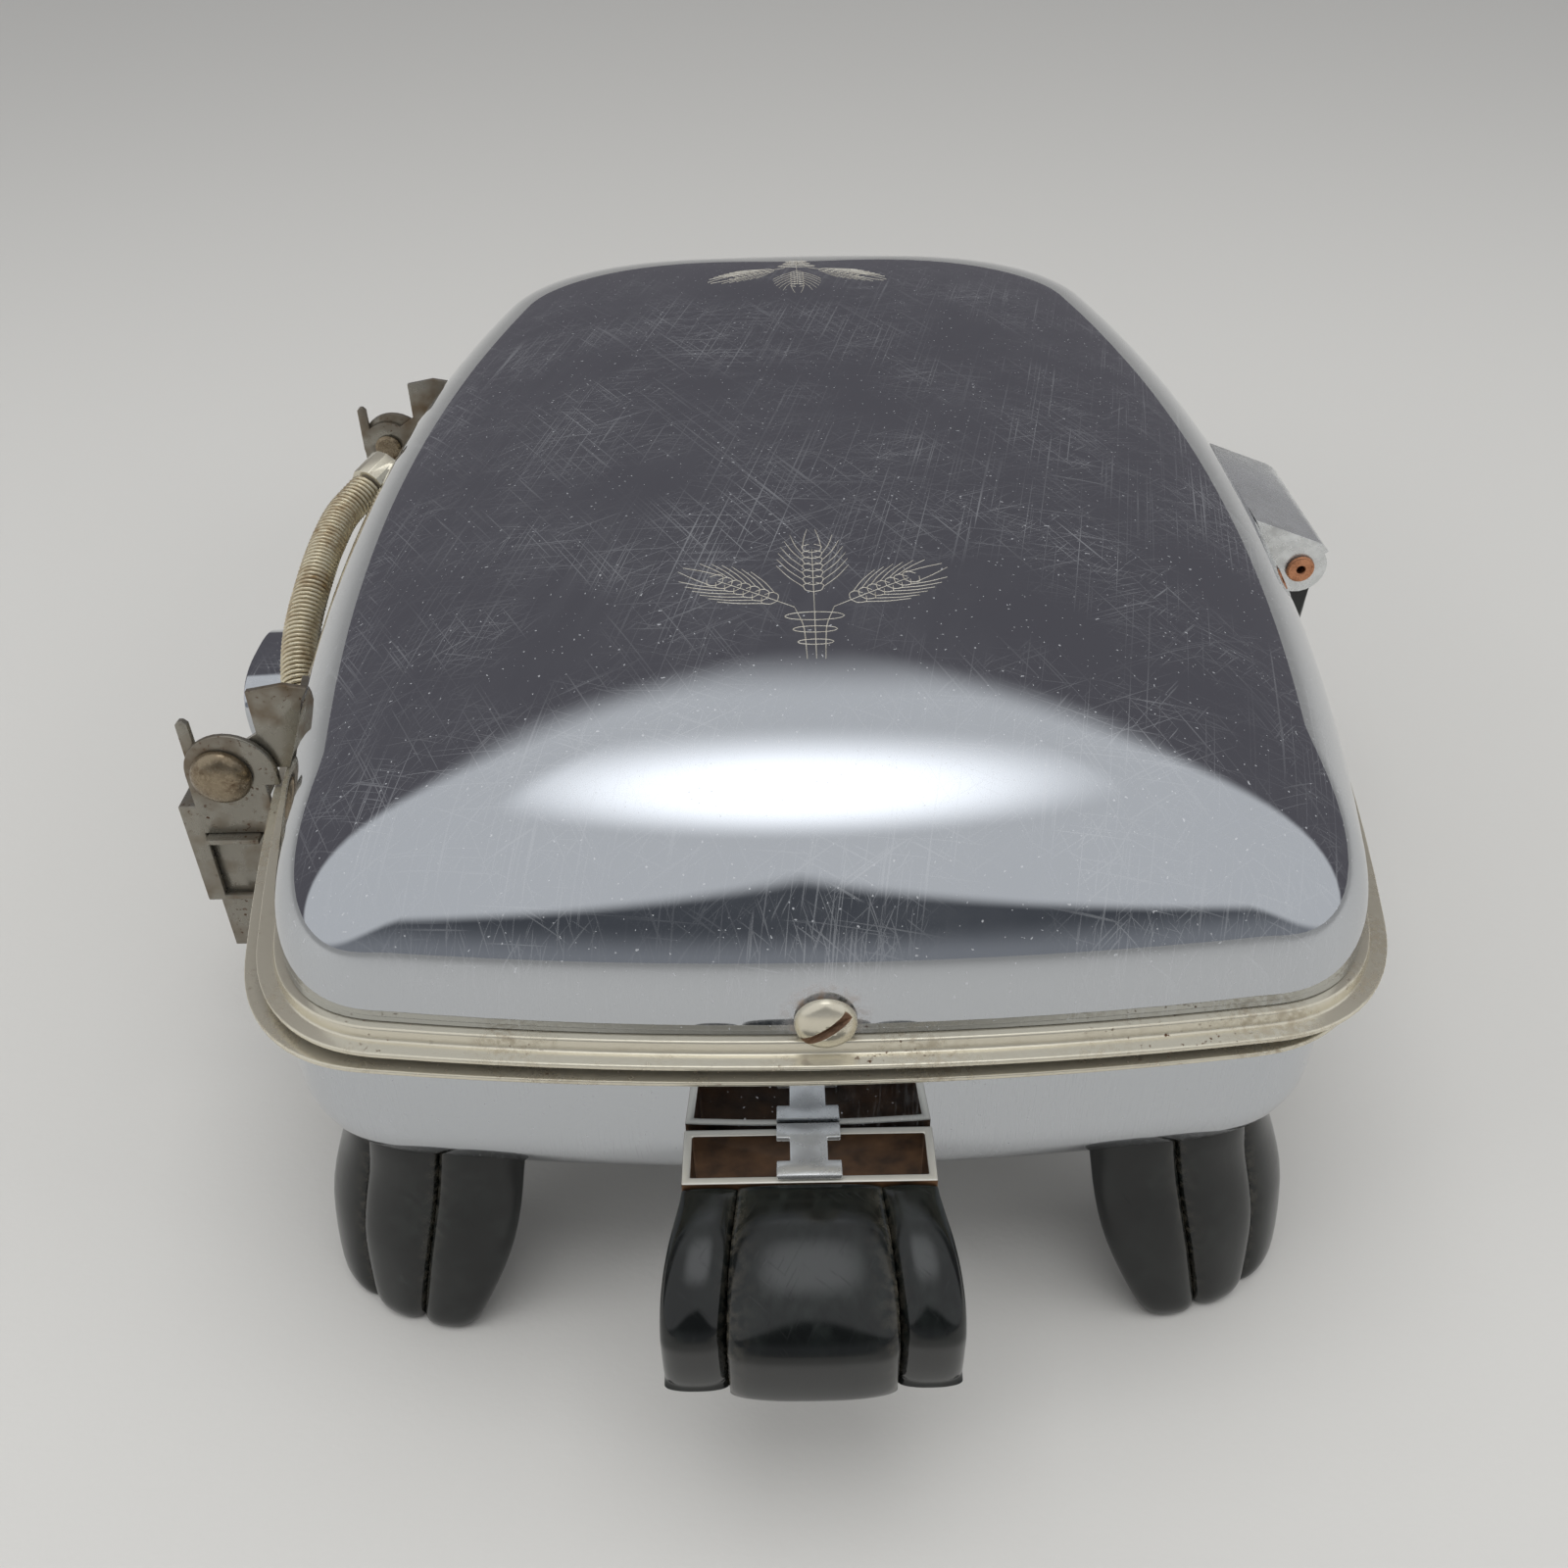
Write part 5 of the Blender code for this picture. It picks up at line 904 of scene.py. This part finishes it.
def conduitRail():
    # The route in the frame, made smooth by Hermite pieces between its inner points, straight at both ends
    knots = np.array([(-plan["halfWidth"] - out * mm, y * mm, levels["rim"] + z * mm) for out, y, z in conduit["route"]])
    knots[:, 0] += pressX
    inner = knots[1:-1]
    first, last = knots[1] - knots[0], knots[-1] - knots[-2]
    slopes = np.empty_like(inner)
    slopes[1:-1] = (inner[2:] - inner[:-2]) / 2
    slopes[0] = first / np.linalg.norm(first) * np.linalg.norm(inner[1] - inner[0])
    slopes[-1] = last / np.linalg.norm(last) * np.linalg.norm(inner[-1] - inner[-2])
    t = (np.arange(24) / 24).reshape(1, -1, 1)
    a, b, m, n = (part[:, None] for part in (inner[:-1], inner[1:], slopes[:-1], slopes[1:]))
    curve = a * (2 * t**3 - 3 * t**2 + 1) + m * (t**3 - 2 * t**2 + t) + b * (3 * t**2 - 2 * t**3) + n * (t**3 - t**2)
    straight = np.linspace(0, 1, 25)[:, None]
    return np.concatenate([knots[0] + first * straight[:-1], curve.reshape(-1, 3), knots[-2] + last * straight])


rail = conduitRail()
railMarks = np.concatenate([[0], np.cumsum(np.linalg.norm(np.diff(rail, axis=0), axis=1))])
conduitLength = railMarks[-1]


def railAt(marks):
    # Points, headings and two sides at lengths along the rail; the first side leans toward X
    points = np.stack([np.interp(marks, railMarks, rail[:, i]) for i in range(3)], axis=-1)
    step = 0.4 * mm
    near, far = np.clip(marks - step, 0, conduitLength), np.clip(marks + step, 0, conduitLength)
    heading = np.stack([np.interp(far, railMarks, rail[:, i]) - np.interp(near, railMarks, rail[:, i]) for i in range(3)], -1)
    heading /= np.linalg.norm(heading, axis=-1, keepdims=True)
    side = np.array([1.0, 0.0, 0.0]) - heading * heading[:, :1]
    side /= np.linalg.norm(side, axis=-1, keepdims=True)
    return points, heading, side, np.cross(heading, side)


def coilPoints(start, end):
    # A helix about the rail, and round it a small circle for the wire
    count = int(round((end - start) / conduit["pitch"])) * conduit["turnPoints"]
    marks = np.linspace(start, end, count + 1)
    centre, heading, side, other = railAt(marks)
    turns = 2 * np.pi * (marks - levels["clear"]) / conduit["pitch"]
    spoke = np.cos(turns)[:, None] * side + np.sin(turns)[:, None] * other
    radius = conduit["radius"] - conduit["wire"]
    around = 2 * np.pi * np.arange(conduit["wireSides"]) / conduit["wireSides"]
    ring = np.cos(around)[None, :, None] * spoke[:, None] + np.sin(around)[None, :, None] * heading[:, None]
    return centre[:, None] + spoke[:, None] * radius + ring * conduit["wire"]


def corePoints(start, end):
    marks = np.linspace(start, end, 60)
    centre, _, side, other = railAt(marks)
    around = 2 * np.pi * np.arange(16) / 16
    ring = np.cos(around)[None, :, None] * side[:, None] + np.sin(around)[None, :, None] * other[:, None]
    return centre[:, None] + ring * conduit["core"]


halfTurns = round(conduitLength / conduit["pitch"] / 2)
middleMark = levels["clear"] + halfTurns * conduit["pitch"]
edgeMark = levels["clear"] + conduit["wire"]
middlePoint = tuple(railAt(np.array([middleMark]))[0][0])
lowPoint = tuple(railAt(np.array([6 * mm]))[0][0])
highPoint = tuple(railAt(np.array([conduitLength - 4 * mm]))[0][0])
halves = (
    ("lower", edgeMark, middleMark, "base", "hinge_links", lowPoint, middlePoint),
    ("upper", middleMark, conduitLength - edgeMark, "hinge_links", "lid", middlePoint, highPoint),
)
for word, start, end, first, second, startPoint, endPoint in halves:
    coil = gridPiece("conduit_spring_" + word, coilPoints(start, end), woundNickel, smooth=60)
    core = gridPiece("conduit_core_" + word, corePoints(start, end), sleeving, smooth=60)
    for piece, slotName, node in ((coil, "worn_nickel", "conduit_spring"), (core, "woven_sleeve", "conduit_core")):
        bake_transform(piece)
        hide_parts(node)
print("conduit made, mm long:", round(conduitLength / mm, 1))


# Sheet-metal and cast pieces: the CAD solids with their edges rounded
for word, _ in ends:
    refined("hinge_link_" + word, steel, "hinge_links", "dull_steel", 0.28 * mm)
    refined("hinge_guide_" + word, steel, "base", "dull_steel", 0.28 * mm)
    refined("hinge_arm_" + word, steel, "lid", "dull_steel", 0.28 * mm)
    refined("end_bracket_" + word, scorchedSteel, "base", "dull_steel", 0.3 * mm)
    refined("bracket_strap_" + word, cleanNickel, "base", "dull_steel", 0.25 * mm)
    refined("handle_bolt_" + word, steel, "base", "dull_steel", 0.3 * mm)
    refined("lower_grid_clip_" + word, steel, "base", "dull_steel", 0.2 * mm)
    refined("upper_grid_clip_" + word, steel, "lid", "dull_steel", 0.2 * mm)
    refined("lower_element_bar_" + word, ceramic, "base", "white_ceramic", 0.6 * mm)
    refined("upper_element_bar_" + word, ceramic, "lid", "white_ceramic", 0.6 * mm)
    refined("plug_pin_" + word, brass, "base", "brass_pin", 0.3 * mm)
refined("lid_handle_bracket", cleanNickel, "lid", "worn_nickel", 0.5 * mm, 4)
refined("terminal_block", ceramic, "base", "white_ceramic", 0.5 * mm)
refined("base_conduit_ferrule", nickel, "base", "worn_nickel", 0.4 * mm)
refined("lid_conduit_ferrule", nickel, "lid", "worn_nickel", 0.4 * mm)
refined("lower_grid", cast, "base", "cast_aluminium", 0.7 * mm)
refined("upper_grid", cast, "lid", "cast_aluminium", 0.7 * mm)
print("sheet-metal and cast pieces made")

# What stays as the CAD made it gets its finish
kept = {
    "foot_screw": steel, "lead": brass, "lower_element": sheath, "upper_element": sheath,
    "lower_reflector": bright, "upper_reflector": bright,
}
for name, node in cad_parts.items():
    for start, finish in kept.items():
        if name.startswith(start) and "bar" not in name:
            node.data.materials.clear()
            node.data.materials.append(finish)
            node.data.shade_smooth()
            node.data.set_sharp_from_angle(angle=math.radians(35))


# Floor, world and lamps
studio = {
    "floor": "#C9C8C5", "sky": "#EDEDED", "pale": 0.72, "mirror": 0.80, "shown": 0.80,
    "ceiling": "#EEF0F3", "wall": "#6D6B71", "side": "#9A9DA3", "low": "#5A5D63", "panelStrength": 2.3,
    "lamps": (
        ("overhead", (0.0, -0.25, 1.2), (1.0, 0.8), 6.0),
        ("left", (-1.0, -0.45, 0.7), (0.6, 0.6), 3.0),
        ("right", (1.0, -0.3, 0.7), (0.6, 0.6), 2.5),
    ),
}


def makeFloor():
    size = 6.0
    corners = np.array([[(-size, -size, 0), (size, -size, 0)], [(-size, size, 0), (size, size, 0)]])
    finish, tree, shader, coords = newFinish("paintedBoard", studio["floor"], 0.0, 0.65)
    grain = noiseAt(tree, coords, 1.5 * mm, 3.0, low=0.3, high=0.7)
    bump(tree, shader, grain, 0.02 * mm)
    floor = gridPiece("floor", corners, finish, closeColumns=False, caps=False)
    floor.location.z = 0.0


def makeWorld():
    # Plain pale light. Mirrors see a studio with dim walls under a soft pale ceiling
    world = bpy.data.worlds.new("studio")
    scene.world = world
    world.use_nodes = True
    tree = world.node_tree
    tree.nodes.clear()
    ray = addNode(tree, "ShaderNodeLightPath")
    direction = addNode(tree, "ShaderNodeTexCoord").outputs["Generated"]
    parts = addNode(tree, "ShaderNodeSeparateXYZ", {0: direction}).outputs

    def rampOf(value, low, high):
        links = {"Value": value, "From Min": low, "From Max": high}
        return addNode(tree, "ShaderNodeMapRange", links, clamp=True, interpolation_type="SMOOTHSTEP").outputs[0]

    def weighed(value, factor):
        return addNode(tree, "ShaderNodeMath", {0: value, 1: factor}, operation="MULTIPLY").outputs[0]

    def total(first, second):
        return addNode(tree, "ShaderNodeMath", {0: first, 1: second}, operation="ADD").outputs[0]

    # The ceiling comes lower at both sides in front; overhead hangs one soft panel
    sideways = addNode(tree, "ShaderNodeMath", {0: parts["X"]}, operation="ABSOLUTE").outputs[0]
    forward = rampOf(weighed(parts["Y"], -1.0), -0.45, 0.15)
    height = total(parts["Z"], weighed(weighed(sideways, forward), 0.95))
    ceiling = rampOf(height, 0.76, 0.88)
    near = rampOf(weighed(parts["Y"], -1.0), 0.15, 0.55)
    low = rampOf(parts["Z"], 0.02, 0.45)
    walls = mixColour(tree, near, studio["wall"], mixColour(tree, low, studio["side"], studio["low"]))
    studioColour = mixColour(tree, ceiling, walls, studio["ceiling"])
    off = addNode(tree, "ShaderNodeVectorMath", {0: direction, 1: (0.0, 0.06, 1.0)}, operation="DISTANCE").outputs["Value"]
    panel = addNode(tree, "ShaderNodeMath", {0: 1.0, 1: rampOf(off, 0.10, 0.34)}, operation="SUBTRACT").outputs[0]
    strength = total(weighed(panel, studio["panelStrength"] - studio["mirror"]), studio["mirror"])
    plain = addNode(tree, "ShaderNodeBackground", {"Color": hexToLinear(studio["sky"]), "Strength": studio["pale"]})
    mirrored = addNode(tree, "ShaderNodeBackground", {"Color": studioColour, "Strength": strength})
    shown = addNode(tree, "ShaderNodeBackground", {"Color": hexToLinear(studio["sky"]), "Strength": studio["shown"]})
    first = addNode(tree, "ShaderNodeMixShader", {0: ray.outputs["Is Glossy Ray"], 1: plain.outputs[0], 2: mirrored.outputs[0]})
    both = addNode(tree, "ShaderNodeMixShader", {0: ray.outputs["Is Camera Ray"], 1: first.outputs[0], 2: shown.outputs[0]})
    addNode(tree, "ShaderNodeOutputWorld", {"Surface": both.outputs[0]})


def makeLamps():
    for name, place, size, watts in studio["lamps"]:
        data = bpy.data.lights.new(name, "AREA")
        data.shape = "RECTANGLE"
        data.size, data.size_y = size
        data.energy = watts
        lamp = bpy.data.objects.new(name, data)
        lamp.visible_glossy = False
        scene.collection.objects.link(lamp)
        lamp.location = place
        lamp.rotation_euler = (Vector((0, 0, 0.06)) - Vector(place)).to_track_quat("-Z", "Y").to_euler()


makeFloor()
makeWorld()
makeLamps()
scene.view_settings.view_transform = "Standard"
print("studio made")
